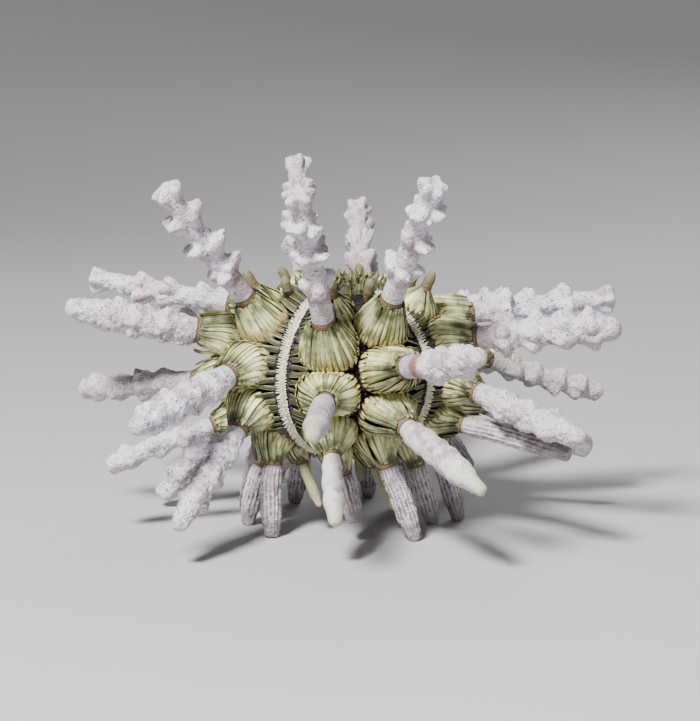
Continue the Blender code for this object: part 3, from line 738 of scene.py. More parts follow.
def spine_solid(pile, foot, axis, length, habit, girth, cup, band=0.0, dull=0.0):
    """A primary spine from its socket to its tip, laid down ring by ring."""
    kind = HABITS[habit]
    end = kind.end * MM
    side, up = across(axis)
    foot_r, middle_r, tip_r = (radius * girth * MM for radius in kind.radii)
    row_step = ROW_STRETCH * math.tau * middle_r / kind.sides
    rows = round((length - end - SPINE_START) / row_step)
    shaft = np.linspace(SPINE_START, length - end, rows)
    roll = np.linspace(0, TIP_ROLL, TIP_ROWS + 1)[1:]
    line = np.concatenate([shaft, length - end + end * np.sin(roll) * 0.96])
    closing = np.concatenate([np.ones(rows), np.cos(roll) ** 0.7])[:, None]
    hollow = np.concatenate([np.zeros(rows), step_up(roll, 0.8, 1.46)]) * kind.flare * 0.5 * MM
    bare = np.interp(line / length, SHAFT_STATIONS, (foot_r, middle_r, middle_r, tip_r))
    bare = bare * (0.72 + 0.28 * step_up(line, 0.5 * MM, 2.0 * MM))
    circle = np.arange(kind.sides) * math.tau / kind.sides
    along, turn = np.meshgrid(line, circle, indexing="ij")
    radius = np.broadcast_to(bare[:, None], along.shape)
    bare_from = cup + BAND_SPACE * band * MM
    clear = step_up(along, bare_from + 0.8 * MM, bare_from + 3.0 * MM)
    seed = rng.uniform(-50, 50, 3)
    way = side * np.cos(turn)[..., None] + up * np.sin(turn)[..., None]
    skin = foot + axis * along[..., None] + way * radius[..., None]
    whorls_from = cup + BAND_SHIFT * band * MM
    thorns, small, levels, pointed = whorls_of(kind, length, whorls_from)
    thorn = lump_field(along, turn, bare.mean(), thorns, pointed) * clear
    wart = lump_field(along, turn, bare.mean(), small) * clear
    swell = np.zeros_like(along)
    for level in levels:
        rise = along - level
        rise = np.where(rise < 0, rise / (2.4 * MM), rise / (0.9 * MM))
        swell = np.maximum(swell, np.exp(-(rise**2)))
    grit = lumpy(skin, COARSE_GRIT, seed) * 0.18 + lumpy(skin, FINE_GRIT, seed) * 0.16
    grit = grit * kind.grit * (0.25 + 0.75 * clear)
    relief = thorn + wart + swell * kind.swell * MM * clear + grit * MM
    # The crust is painted whiter the further it stands out and greyer in the hollows: partly its
    # own colour, partly painted light on the knobs and painted shade in the hollows
    high = 0.38 + 0.42 * thorn / (1.5 * MM) + 0.8 * wart / (0.35 * MM) + 1.6 * grit
    if kind.ribs:
        ribbed = step_up(along, cup + 0.8 * MM, cup + 1.7 * MM)
        wander = turn + 0.09 * lumpy(skin, 2.5 * MM, seed + 4)
        crest = (0.5 + 0.5 * np.cos(kind.ribs * wander)) ** 1.6
        number = np.round(wander * kind.ribs / math.tau)
        wave = np.sin(math.tau * along / TOOTH_STEP + number * 2.4) ** 2
        fade = 1 - 0.8 * step_up(along, 0.72 * length, 0.9 * length)
        teeth = crest * (0.15 + 1.0 * wave * fade)
        relief = relief + RIB_HEIGHT * teeth * ribbed * min(1.0, middle_r / (1.3 * MM)) ** 2
        # Between the ribs the crust takes the hollows' colour: painted shade in the grooves
        high = 0.1 + 0.85 * teeth * ribbed + 1.3 * grit
    edge = (along - cup) / MM
    collar = step_up(edge, -0.9, -0.6) * (1 - step_up(edge, 0.62, 0.82))
    total = (radius + relief * np.sqrt(closing)) * closing + COLLAR_LIFT * collar
    lean = THORN_LEAN * np.clip(thorn / (1.6 * MM), 0, 1) ** 1.4 * closing
    height = np.minimum(along + lean, length) - hollow[:, None]
    bow = rng.uniform(-SPINE_BOW, SPINE_BOW, 2) * MM
    curve = np.sin(math.pi * np.clip(along / length, 0, 1)) * step_up(along, cup, length * 0.5)
    bend = (side * bow[0] + up * bow[1]) * curve[..., None]
    rings = foot + axis * height[..., None] + way * total[..., None] + bend
    rings[..., 2] = np.maximum(rings[..., 2], 0.0)
    ragged = edge - BAND_MIDDLE + 0.5 * lumpy(skin, 1.6 * MM, seed + 9)
    pink = band * np.exp(-((ragged / BAND_HALF) ** 4))
    tone = 0.5 * rng.random() + 0.5 * dull
    values = {"above_cup": edge, "share": along / length, "band": pink, "tone": tone}
    pile.add_stack(rings, relief=np.clip(high, 0, 1), **values)


def limy_crust():
    """A limy crust: white on what stands out and greyer in the hollows, partly its own colour and
    partly painted light and shade, blushed in patches.
    """
    made, start, end = effect(
        "limy_crust",
        {
            "Crust": "colour",
            "Hollow": "colour",
            "Blush": "colour",
            "Relief": "value",
            "Grain Scale": "value",
            "Pits": "value",
        },
        {"Colour": "colour", "Roughness": "value", "Height": "value"},
    )
    far = grains(made, start.outputs["Grain Scale"])
    beads = spread(made, far, 0.08, 0.6, 1.0, 0.0)
    patches = noise(made, 520, 4.0, 0.6)
    broad = noise(made, 170, 2.0)
    fine = noise(made, 3600, 3.0, 0.65)
    high = plus(made, start.outputs["Relief"], times(made, patches, 1.1))
    high = plus(made, high, times(made, fine, 0.8))
    # Painted light and shade: what stands out is mixed to the crust's white, the hollows to their
    # grey
    mask = spread(made, high, 0.86, 1.46)
    colour = blended(made, mask, start.outputs["Hollow"], start.outputs["Crust"])
    warm = spread(made, broad, 0.48, 0.6)
    warm = times(made, times(made, warm, spread(made, patches, 0.4, 0.6)), 0.66)
    colour = blended(made, warm, colour, start.outputs["Blush"])
    specks = spread(made, noise(made, 2100, 2.0, 0.6), 0.41, 0.31)
    specks = times(made, specks, start.outputs["Pits"])
    colour = blended(made, specks, colour, SPECK)
    made.links.new(colour, end.inputs["Colour"])
    made.links.new(spread(made, mask, 0.0, 1.0, 0.9, 0.68), end.inputs["Roughness"])
    low = times(made, fine, 0.9)
    low = maths(made, "SUBTRACT", low, times(made, specks, 0.6))
    made.links.new(plus(made, beads, low), end.inputs["Height"])
    return made


LIMY_CRUST = limy_crust()


def spine_lime(name, crust, hollow, blush, dull_and_shade, tip, measures):
    """A spine's lime, with its smooth foot, its tan collar and its paler or darker tip."""
    tip_from, tip_share, grain_scale, pits, depth = measures
    look = new_material(name)
    tree = look[1]
    inputs = {"Crust": crust, "Hollow": hollow, "Blush": blush, "Pits": pits}
    inputs.update({"Grain Scale": grain_scale, "Relief": painted(tree, "relief")})
    lime = node(tree, "ShaderNodeGroup", inputs, node_tree=LIMY_CRUST)
    # The crust is mixed towards a duller colour by the spine's tone: a random share of its own,
    # and on the dull spines partly painted shade
    dulled_and_shaded = times(tree, painted(tree, "tone"), 0.6)
    colour = blended(tree, dulled_and_shaded, lime.outputs["Colour"], dull_and_shade)
    far = spread(tree, painted(tree, "share"), tip_from, 1.0, 0.0, tip_share)
    colour = blended(tree, far, colour, tip)
    edge = painted(tree, "above_cup")
    foot = spread(tree, edge, 0.4, 3.0, 0.22, 0.0)
    colour = blended(tree, foot, colour, hollow)
    colour = blended(tree, painted(tree, "band"), colour, BAND_PINK)
    collar = spread(tree, edge, 0.7, 0.85, 1.0, 0.0)
    rim = times(tree, spread(tree, edge, 0.4, 0.72), collar)
    ring = blended(tree, rim, COLLAR_TAN, COLLAR_RED)
    colour = blended(tree, collar, colour, ring)
    roughness, height = lime.outputs["Roughness"], lime.outputs["Height"]
    return finished(look, colour, roughness, height, 0.85, depth * MM, 0.35)


LIMES = {name: spine_lime(name, *made_of) for name, made_of in SPINE_LIMES.items()}


def spine_reach(name, foot, facing):
    """Which way a plate's spine points and how long it is, read from its solid."""
    points = np.array([vertex.co[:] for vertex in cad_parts[name].data.vertices])
    ahead = points[(points - foot) @ facing > 0.5 * MM]
    on_floor = ahead[ahead[:, 2] < 0.01 * MM]
    far = np.linalg.norm(ahead - foot, axis=1)
    end = on_floor if len(on_floor) else ahead[far > far.max() - 0.1 * MM]
    tip = (end.max(axis=0) + end.min(axis=0)) / 2
    length = float(np.linalg.norm(tip - foot))
    return (tip - foot) / length, length


def cup_height(column, row, axis, facing):
    """How far up the spine its cup reaches, less where the spine leans over."""
    leaning = math.acos(min(1.0, float(axis @ facing)))
    return CUP_HEIGHTS[column][row - 1] * MM * (1 - CUP_LEANING * leaning)


def primary_spine(area, column, row):
    """The spine of one plate, and what its cup needs of it: its foot, the way that the plate
    faces, the way that the spine points, and the radius of its foot."""
    plate = (area, column, row)
    west, east, _, _, arc = plate_span(*plate)
    foot = on_test((west + east) / 2, arc)
    facing = out_of_test((west + east) / 2, arc)
    node_name = f"spine_{area}{column}_{row}"
    axis, length = spine_reach(node_name, foot, facing)
    habit, girth = ODD_SPINES.get(plate, (ROW_HABITS[column][row - 1], 1.0))
    cup = cup_height(column, row, axis, facing)
    band = BANDED_SPINES.get(plate, 0.0)
    pile = Pile()
    spine_solid(pile, foot, axis, length, habit, girth, cup, band, float(plate in DULL_SPINES))
    lime, slot = KIND_LOOKS[habit]
    pile.piece(f"{habit}_spine_{area}{column}{row}", LIMES[lime], node_name)
    return foot, facing, axis, HABITS[habit].radii[0] * girth * MM


def short_spine(area, name):
    """A small spine beyond the primary ones, at the top or the mouth end of a column."""
    column, row, arc, droop, length, girth, bare_foot, lime, slot = SHORT_SPINES[name]
    west, east, _, _, _ = plate_span(area, column, row)
    foot = on_test((west + east) / 2, arc * MM)
    axis = out_of_test((west + east) / 2, arc * MM)
    if droop:
        axis = unit(axis - (0, 0, droop))
    pile = Pile()
    spine_solid(pile, foot, axis, length * MM, "bud", girth, bare_foot * MM)
    pile.piece(f"{name}_spine_{area}", LIMES[lime], f"spine_{area}{column}_{row}")


SPINE_FEET = {plate: primary_spine(*plate) for plate in PLATES}
for area in AREAS:
    short_spine(area, "stunted")
    short_spine(area, "last")


# The cups. Round each spine's foot stands a ring of flat scrobicular spines, thin limy
# straps that closed over the muscle like shingles and dried in place. They start edge to
# edge with the next cup's, bend in over the plate and meet the shaft below its collar.
CUP_BLADES = {"a": (16, 30, 30, 26, 21), "b": (30, 30, 27, 23, 16)}
CUP_WIDEST = 4.8 * MM
CUP_SIDE_MARGIN = 0.2 * MM
CUP_END_MARGIN = 0.08 * MM
CUP_SQUARENESS = 0.66
CUP_GAP = 0.3 * MM
CUP_SHINGLE = 0.25
STRAP_TURN = np.arange(8) * math.tau / 8
STRAP_THICKNESS = 0.30 * MM
STRAP_STATIONS = 16
STRAP_HEEL = 0.62
# How much wider the straps are than their share of the cup's rim, and of its mouth
RIM_OVERLAP = 1.36
MOUTH_OVERLAP = 1.5
# How far up the cup its straps bulge, and how far under its mouth they bend in
BULGE_SHARE = 0.42
SHOULDER_SHARE = 0.32
SHOULDER_OUT = 0.6 * MM
STRAY_SHARE = 0.05
STRAY_ROLL = 0.3
SCALE_SHARE = 1.2
SCALE_THICKNESS = 0.2 * MM
SCALE_OUTLINE = np.array([0.8, 1.0, 1.0, 0.95, 0.85, 0.65, 0.35])
STRAP_PALE = (0.68, 0.71, 0.37, 1)
STRAP_MID = (0.175, 0.19, 0.070, 1)
STRAP_OLIVE = (0.040, 0.048, 0.016, 1)
STRAP_TAN = (0.48, 0.37, 0.14, 1)
STRAP_RED = (0.10, 0.026, 0.009, 1)
# The painted shade in the gaps between a cup's straps
STRAP_GAP_SHADE = (0.030, 0.018, 0.008, 1)


def strap_rings(corners, way, widths, thickness, thinned, roll=0.0):
    """Rings of points round a flat strap that follows a curve with four corners. It thins
    out to this share of its thickness."""
    step = np.linspace(0.0, 1.0, len(widths))[:, None]
    first, second, third, last = corners
    line = (1 - step) ** 3 * first + 3 * (1 - step) ** 2 * step * second
    line = line + 3 * (1 - step) * step**2 * third + step**3 * last
    run = unit(np.gradient(line, axis=0))
    out = unit(np.cross(run, way))
    side = np.cross(out, run)
    cos, sin = math.cos(roll), math.sin(roll)
    side, out = side * cos + out * sin, out * cos - side * sin
    flat = np.sign(np.cos(STRAP_TURN)) * np.abs(np.cos(STRAP_TURN)) ** 0.8
    thick = thickness * np.linspace(1.0, thinned, len(widths))
    wide = side[:, None] * (flat * 0.5)[None, :, None] * np.asarray(widths)[:, None, None]
    deep = out[:, None] * (np.sin(STRAP_TURN) * 0.5)[None, :, None] * thick[:, None, None]
    return line[:, None] + wide + deep


def map_patches(count, proportion, aside, above):
    """Patches of the bake's map side by side for this many solids, with these margins."""
    columns = math.ceil(math.sqrt(count * proportion))
    rows = math.ceil(count / columns)
    width, height = (1 - 2 * aside) / columns, (1 - 2 * above) / rows
    for number in range(count):
        left, foot = number % columns / columns, number // columns / rows
        yield left + aside / columns, foot + above / rows, width, height


def strap_piece(name, straps, material, stands_for):
    """A piece of straps, each with its own tint."""
    aside = np.cos(STRAP_TURN)[None, :]
    pile = Pile()
    for (rings, tint), patch in zip(straps, map_patches(len(straps), 2.2, 0.04, 0.03)):
        along = np.linspace(0.0, 1.0, len(rings))[:, None]
        pile.add_stack(rings, patch, along=along, aside=aside, tint=tint)
    pile.piece(name, material, stands_for)


def limb_widths(heel, mouth, count, blunt=0.55):
    """A strap's widths: a notched heel, its widest just over it, and a blunt end."""
    share = np.linspace(0.0, 1.0, count)
    width = heel + (mouth - heel) * share**0.85
    start = STRAP_HEEL + (1 - STRAP_HEEL) * step_up(share, -0.05, 0.1)
    end = 1 - (1 - blunt) * step_up(share, 0.9, 1.02)
    return width * start * end


def cup_straps(area, column, row):
    """The straps of one cup, and the short pointed scales that lie on their heels."""
    foot, facing, axis, shaft = SPINE_FEET[area, column, row]
    west, east, top, bottom, arc = plate_span(area, column, row)
    half = flat_radius(arc) * math.radians((east - west) / 2)
    wide = min(half - CUP_SIDE_MARGIN, CUP_WIDEST)
    tall = min(top - arc, arc - bottom) - CUP_END_MARGIN
    height = cup_height(column, row, axis, facing)
    count = CUP_BLADES[column][row - 1]
    side, up = across(facing)
    mouth_side = unit(side - axis * float(side @ axis))
    mouth_up = unit(np.cross(axis, mouth_side))
    mouth = shaft + CUP_GAP

    def rim_point(turn):
        """A point of the cup's squarish outline, from its middle."""
        cos, sin = math.cos(turn), math.sin(turn)
        square_cos = math.copysign(abs(cos) ** CUP_SQUARENESS, cos)
        square_sin = math.copysign(abs(sin) ** CUP_SQUARENESS, sin)
        return side * square_cos * wide + up * square_sin * tall

    def rim_place(share):
        """The point this share of the way round, the way out from it and the way on."""
        turn = np.interp(share % 1.0 * walked[-1], walked, turns)
        out = unit(side * math.cos(turn) / wide + up * math.sin(turn) / tall)
        return rim_point(turn), out, unit(rim_point(turn + 0.03) - rim_point(turn - 0.03))

    turns = np.linspace(0.0, math.tau, 181)
    rim = np.array([rim_point(turn) for turn in turns])
    walked = np.concatenate([[0.0], np.cumsum(np.linalg.norm(np.diff(rim, axis=0), axis=1))])
    start = rng.random()
    straps = []
    for i in range(count):
        share = (i + start) / count + rng.normal(0, 0.003)
        cos, sin = math.cos(math.tau * share), math.sin(math.tau * share)
        layer = rng.normal(0, 0.04) * MM
        reach, out, tangent = rim_place(share)
        heel = foot + reach * rng.uniform(0.98, 1.02) + out * layer - facing * 0.1 * MM
        mouth_out = mouth_side * cos + mouth_up * sin
        stray = rng.random() < STRAY_SHARE
        loose = rng.uniform(0.5, 1.2) * MM if stray else rng.uniform(0.0, 0.1) * MM
        high = height + rng.uniform(-0.35, 0.3) * MM
        end = foot + axis * high + mouth_out * (mouth + layer * 0.5 + loose)
        bulge = heel + facing * height * BULGE_SHARE + out * 0.15 * MM
        shoulder = end - axis * height * SHOULDER_SHARE
        shoulder = shoulder + mouth_out * (SHOULDER_OUT + loose * 0.2)
        mouth_tangent = mouth_up * cos - mouth_side * sin
        step = np.linspace(0.0, 1.0, STRAP_STATIONS)[:, None]
        way = tangent * (1 - step) + mouth_tangent * step
        at_heel = walked[-1] / count * RIM_OVERLAP
        at_mouth = mouth * (math.tau / count) * MOUTH_OVERLAP
        widths = limb_widths(at_heel, at_mouth, STRAP_STATIONS)
        roll = CUP_SHINGLE + rng.normal(0, 0.07) + (STRAY_ROLL if stray else 0.0)
        corners = (heel, bulge, shoulder, end)
        rings = strap_rings(corners, way, widths, STRAP_THICKNESS, 0.6, roll)
        straps.append((rings, rng.random()))
    scales = round(count * SCALE_SHARE)
    for i in range(scales):
        reach, out, way = rim_place((i + rng.uniform(-0.25, 0.25)) / scales)
        heel = foot + reach * rng.uniform(1.02, 1.05) + out * 0.1 * MM - facing * 0.2 * MM
        climb = facing * BULGE_SHARE * height + out * 0.1 * MM
        end = heel + climb * rng.uniform(0.5, 0.95) - reach * rng.uniform(0.01, 0.05)
        middle = (heel + end) / 2 + out * 0.16 * MM
        widths = rng.uniform(0.55, 0.82) * MM * SCALE_OUTLINE
        corners = (heel, middle, middle, end)
        rings = strap_rings(corners, way, widths, SCALE_THICKNESS, 0.5, rng.normal(0, 0.15))
        straps.append((rings, -0.5 - 0.5 * rng.random()))
    return straps


def striated_strap():
    """Fine streaks and blotches that run along a flat spine, and a mask of its two edges."""
    made, start, end = effect(
        "striated_strap",
        {"Streak Count": "value"},
        {"Streaks": "value", "Blotches": "value", "Edges": "value", "Height": "value"},
    )
    aside = painted(made, "aside")
    along = painted(made, "along")
    tint = painted(made, "tint")
    runs = {
        "X": times(made, aside, start.outputs["Streak Count"]),
        "Y": times(made, along, 2.6),
        "Z": times(made, tint, 61.0),
    }
    place = node(made, "ShaderNodeCombineXYZ", runs)
    inputs = {"Vector": place.outputs["Vector"], "Scale": 1.0, "Detail": 3.0}
    streaks = node(made, "ShaderNodeTexNoise", inputs).outputs["Fac"]
    made.links.new(spread(made, streaks, 0.3, 0.7), end.inputs["Streaks"])
    cloud = noise(made, 480, 4.0, 0.6)
    made.links.new(spread(made, cloud, 0.38, 0.62), end.inputs["Blotches"])
    far = maths(made, "ABSOLUTE", aside)
    made.links.new(spread(made, far, 0.64, 0.95), end.inputs["Edges"])
    low = times(made, noise(made, 4500), 0.4)
    made.links.new(plus(made, streaks, low), end.inputs["Height"])
    return made


STRIATED_STRAP = striated_strap()


def cup_strap_lime():
    """A cup's straps: tan and red-brown at the heel, pale over the bulge, olive above, where the
    darker olive near the mouth is partly their own colour and partly painted shade.
    """
    look = new_material("cup_strap_lime")
    tree = look[1]
    strap = node(tree, "ShaderNodeGroup", {"Streak Count": 3.2}, node_tree=STRIATED_STRAP)
    streaks = strap.outputs["Streaks"]
    blotches = strap.outputs["Blotches"]
    along = painted(tree, "along")
    tint = painted(tree, "tint")
    light = plus(tree, times(tree, streaks, 0.55), maths(tree, "ABSOLUTE", tint))
    light = plus(tree, light, times(tree, blotches, 0.45))
    bulk = blended(tree, spread(tree, light, 0.35, 1.45), STRAP_MID, STRAP_PALE)
    # Painted shade: the straps darken in blotches to olive towards the mouth, under the spine and
    # its collar
    shade = spread(tree, along, 0.38, 0.92, 0.0, 0.95)
    patchy = spread(tree, blotches, 0.0, 1.0, 1.0, 0.5)
    bulk = blended(tree, times(tree, shade, patchy), bulk, STRAP_OLIVE)
    low = plus(tree, along, times(tree, streaks, -0.25))
    rusty = spread(tree, low, -0.15, 0.28, 0.85, 0.0)
    colour = blended(tree, rusty, bulk, STRAP_TAN)
    low = plus(tree, along, times(tree, streaks, 0.12))
    heel = spread(tree, low, 0.03, 0.11, 0.8, 0.0)
    colour = blended(tree, heel, colour, STRAP_RED)
    scale = spread(tree, tint, -0.45, -0.3, 1.0, 0.0)
    point = spread(tree, along, 0.15, 0.75)
    warm = blended(tree, point, STRAP_RED, STRAP_TAN)
    warm = blended(tree, times(tree, blotches, 0.7), warm, STRAP_PALE)
    colour = blended(tree, times(tree, scale, 0.8), colour, warm)
    # Painted shade in the gaps: each strap's two edges are darkened where it meets its
    # neighbours, most towards the heel
    gap_shade = times(tree, strap.outputs["Edges"], spread(tree, along, 0.1, 0.8, 0.95, 0.55))
    colour = blended(tree, gap_shade, colour, STRAP_GAP_SHADE)
    roughness = spread(tree, streaks, 0.0, 1.0, 0.6, 0.42)
    return finished(look, colour, roughness, strap.outputs["Height"], 0.8, 0.11 * MM, 0.4)


CUP_STRAP_LIME = cup_strap_lime()
for area, column, row in PLATES:
    name = f"cup_{area}{column}{row}"
    straps = cup_straps(area, column, row)
    strap_piece(name, straps, CUP_STRAP_LIME, f"spine_{area}{column}_{row}")


# The ambulacra. Between the double columns five narrow bands of small plates run from pole
# to pole. Down the middle stand close rows of short ivory spines like a comb, beside them
# the dark dried tube feet, and thin grey-green blades lie out from them over the cups' edges.
BAND_ARC = 18.4 * MM
# The grooves' step, the band's edge, its rows and columns of points, and its depth
BAND_STEP = 0.75 * MM
BAND_EDGE = 0.1 * MM
BAND_GRID = (260, 19)
BAND_DEPTH = 1.2 * MM
# Each row of the comb: how far it is beside the middle line, how tall and how thick its
# spines are, and how far they lean out, in mm
COMB_ROWS = ((0.14, 0.95, 0.27, 0.08), (0.44, 0.78, 0.24, 0.42))
COMB_STEP = 0.40 * MM
COMB_OUTLINE = np.array([0.9, 1.05, 0.9, 0.4])
FOOT_ASIDE = 1.02 * MM
FOOT_LEAN = 0.25 * MM
FOOT_THICKNESS = 0.42 * MM
FOOT_OUTLINE = np.array([1.0, 0.8, 1.1, 1.15, 0.6])
SIDE_BLADE_ARC = 16.6 * MM
SIDE_BLADE_PITCH = 1.12 * MM
SIDE_BLADE_HEEL = 0.95 * MM
SIDE_BLADE_LENGTH = 3.6 * MM
SIDE_BLADE_WIDTH = 0.88 * MM
SIDE_BLADE_THICKNESS = 0.24 * MM
SIDE_BLADE_RISE = 1.6 * MM
SIDE_BLADE_FAN = 0.35 * MM
BAND_COLOURS = (SKIN_COLOUR, (0.05, 0.03, 0.055, 1), (0.14, 0.13, 0.09, 1))
BAND_IVORY = (0.66, 0.61, 0.47, 1)
COMB_IVORY = (0.80, 0.76, 0.60, 1)
COMB_CREAM = (0.78, 0.74, 0.60, 1)
COMB_FOOT = (0.42, 0.34, 0.21, 1)
TUBE_FOOT_PURPLE = (0.014, 0.007, 0.018, 1)
TUBE_FOOT_PALE = (0.036, 0.021, 0.038, 1)
# The side blades' two greens, their edges and their heels
SIDE_BLADE_COLOURS = (
    (0.022, 0.027, 0.014, 1),
    (0.085, 0.093, 0.042, 1),
    (0.29, 0.295, 0.115, 1),
    (0.06, 0.05, 0.045, 1),
)


def beside(middle, arc, aside, lift):
    """Points this far beside a band's middle line, over the test's surface."""
    turn = np.degrees(np.asarray(aside) / flat_radius(arc))
    return on_test(middle + turn, arc, lift)


def band_plates(area, middle):
    """The band's own small plates, with a groove between one pair and the next."""
    rows, columns = BAND_GRID
    arcs = np.linspace(-BAND_ARC, BAND_ARC, rows)
    arc, right = np.meshgrid(arcs, np.linspace(0, 1, columns), indexing="ij")
    half = np.radians(AMBULACRUM_WIDTH / 2) * flat_radius(arc) - BAND_EDGE
    aside = half * (2 * right - 1)
    wave = 0.5 + 0.5 * np.cos(math.tau * arc / BAND_STEP + math.pi * (aside > 0))
    near = np.abs(aside) / MM
    ridge = 0.4 * np.exp(-((near / 0.7) ** 4))
    lift = (ridge + 0.10 * wave * np.exp(-((near - 1.1) ** 2) / 0.4)) * MM
    top = beside(middle, arc, aside, lift)
    under = beside(middle, arc, aside, -BAND_DEPTH)
    pile = Pile()
    pile.add_slab(top, under, comb=np.exp(-((near / 0.5) ** 6)))
    pile.piece(f"band_plates_{area}", BAND_LIME, f"ambulacrum_{area}")


def peg_rings(foot, tip, widths, sides):
    """Rings of a small round spine from its foot to its tip."""
    way = unit(tip - foot)
    side, up = across(way)
    turn = np.arange(sides) * math.tau / sides
    circle = side * np.cos(turn)[:, None] + up * np.sin(turn)[:, None]
    share = np.linspace(0.0, 1.0, len(widths))[:, None, None]
    return foot + (tip - foot) * share + circle[None] * np.asarray(widths)[:, None, None] / 2


def peg_piece(name, pegs, material, area):
    """A piece of small spines or feet, side by side on the bake's map."""
    pile = Pile()
    for rings, patch in zip(pegs, map_patches(len(pegs), 1.6, 0.05, 0.05)):
        pile.add_stack(rings, patch, along=np.linspace(0.0, 1.0, len(rings))[:, None])
    pile.piece(f"{name}_{area}", material, f"ambulacrum_{area}")


def comb_spines(area, middle):
    """Four close rows of short blunt spines, the outer ones leaning out."""
    pegs = []
    end = BAND_ARC - 0.3 * MM
    for aside, tall, thick, lean_out in COMB_ROWS:
        for side in (-1, 1):
            offset = rng.random() * COMB_STEP
            for arc in np.arange(-end, end, COMB_STEP) + offset:
                at = arc + rng.normal(0, 0.04) * MM
                place = side * aside * MM * rng.uniform(0.9, 1.1)
                foot = beside(middle, at, place, 0.15 * MM)
                lean = side * lean_out * MM + rng.normal(0, 0.06) * MM
                tip_at = at + rng.normal(0, 0.09) * MM
                tip = beside(middle, tip_at, place + lean, tall * rng.uniform(0.85, 1.15) * MM)
                pegs.append(peg_rings(foot, tip, thick * MM * COMB_OUTLINE, 5))
    peg_piece("comb_spines", pegs, COMB_LIME, area)


def tube_feet(area, middle):
    """Shrunken tube feet in two rows beside the comb."""
    pegs = []
    end = BAND_ARC - 0.4 * MM
    for side in (-1, 1):
        for arc in np.arange(-end, end, BAND_STEP):
            at = arc + rng.normal(0, 0.05) * MM
            place = side * FOOT_ASIDE * rng.uniform(0.93, 1.07)
            foot = beside(middle, at, place, -0.05 * MM)
            tip_at = at + rng.normal(0, 0.15) * MM
            tall = rng.uniform(0.45, 0.8) * MM
            tip = beside(middle, tip_at, place + side * FOOT_LEAN, tall)
            pegs.append(peg_rings(foot, tip, FOOT_THICKNESS * FOOT_OUTLINE, 6))
    peg_piece("tube_feet", pegs, DRIED_FEET, area)


def side_blades(area, middle):
    """Flat blades that lie out from the band over the heels of the cups beside it."""
    straps = []
    for side in (-1, 1):
        offset = rng.random() * 0.6 * MM
        for arc in np.arange(-SIDE_BLADE_ARC, SIDE_BLADE_ARC, SIDE_BLADE_PITCH) + offset:
            at = arc + rng.normal(0, 0.13) * MM
            reach = SIDE_BLADE_LENGTH * rng.uniform(0.88, 1.08)
            room = np.radians((AMBULACRUM_WIDTH + COLUMN_WIDTH * 0.2) / 2) * flat_radius(at)
            reach = min(reach, room + 0.9 * MM)
            swing = rng.normal(0, 0.42) * MM + SIDE_BLADE_FAN * at / (18 * MM)
            rise = SIDE_BLADE_RISE * rng.uniform(0.75, 1.2)
            heel = beside(middle, at, side * SIDE_BLADE_HEEL, 0.2 * MM)
            second = beside(middle, at, side * (SIDE_BLADE_HEEL + reach * 0.33), 0.75 * MM)
            third_out = side * (SIDE_BLADE_HEEL + reach * 0.68)
            third = beside(middle, at + swing * 0.6, third_out, rise * 0.85)
            end = beside(middle, at + swing, side * (0.75 * MM + reach), rise)
            lengthwise = on_test(middle, at + 0.3 * MM) - on_test(middle, at - 0.3 * MM)
            way = unit(lengthwise) * side
            widths = SIDE_BLADE_WIDTH * rng.uniform(0.82, 1.12) * limb_widths(1.0, 0.92, 10, 0.45)
            corners = (heel, second, third, end)
            roll = rng.normal(0, 0.34)
            rings = strap_rings(corners, way, widths, SIDE_BLADE_THICKNESS, 0.65, roll)
            straps.append((rings, rng.random()))
    name = f"side_blades_{area}"
    strap_piece(name, straps, SIDE_BLADE_LIME, f"ambulacrum_{area}")


def comb_lime():
    """The comb's ivory spines, yellower at the foot."""
    look = new_material("comb_lime")
    tree = look[1]
    cloud = noise(tree, 900, 3.0)
    ivory = blended(tree, spread(tree, cloud, 0.35, 0.65), COMB_IVORY, COMB_CREAM)
    foot = spread(tree, painted(tree, "along"), 0.0, 0.5, 0.75, 0.0)
    colour = blended(tree, foot, ivory, COMB_FOOT)
    roughness = spread(tree, cloud, 0.3, 0.7, 0.45, 0.62)
    return finished(look, colour, roughness, noise(tree, 5200, 2.0), 0.4, 0.05 * MM)


def dried_feet():
    """Tube feet dried to dark purple, almost black, with a dull sheen."""
    look = new_material("dried_feet")
    tree = look[1]
    cloud = noise(tree, 2400, 3.0)
    colour = blended(tree, spread(tree, cloud, 0.4, 0.75), TUBE_FOOT_PURPLE, TUBE_FOOT_PALE)
    roughness = spread(tree, cloud, 0.3, 0.7, 0.35, 0.6)
    return finished(look, colour, roughness, cloud, 0.6, 0.08 * MM)


def blade_lime(name, streak_count, own_share, lightest, edge_share, colours, specular=0.5):
    """Thin blades between two greens, each blade a little lighter or darker, with pale
    edges and tips, and a heel of its own colour where a fourth colour is given."""
    look = new_material(name)
    tree = look[1]
    inputs = {"Streak Count": streak_count}
    strap = node(tree, "ShaderNodeGroup", inputs, node_tree=STRIATED_STRAP)
    streaks = strap.outputs["Streaks"]
    light = plus(tree, streaks, times(tree, painted(tree, "tint"), own_share))
    colour = blended(tree, spread(tree, light, 0.4, lightest), *colours[:2])
    rim = times(tree, strap.outputs["Edges"], edge_share)
    colour = blended(tree, rim, colour, colours[2])
    if colours[3:]:
        heel = spread(tree, painted(tree, "along"), 0.02, 0.22, 0.8, 0.0)
        colour = blended(tree, heel, colour, colours[3])
    roughness = spread(tree, streaks, 0.0, 1.0, 0.55, 0.38)
    height = strap.outputs["Height"]
    return finished(look, colour, roughness, height, 0.6, 0.07 * MM, specular)


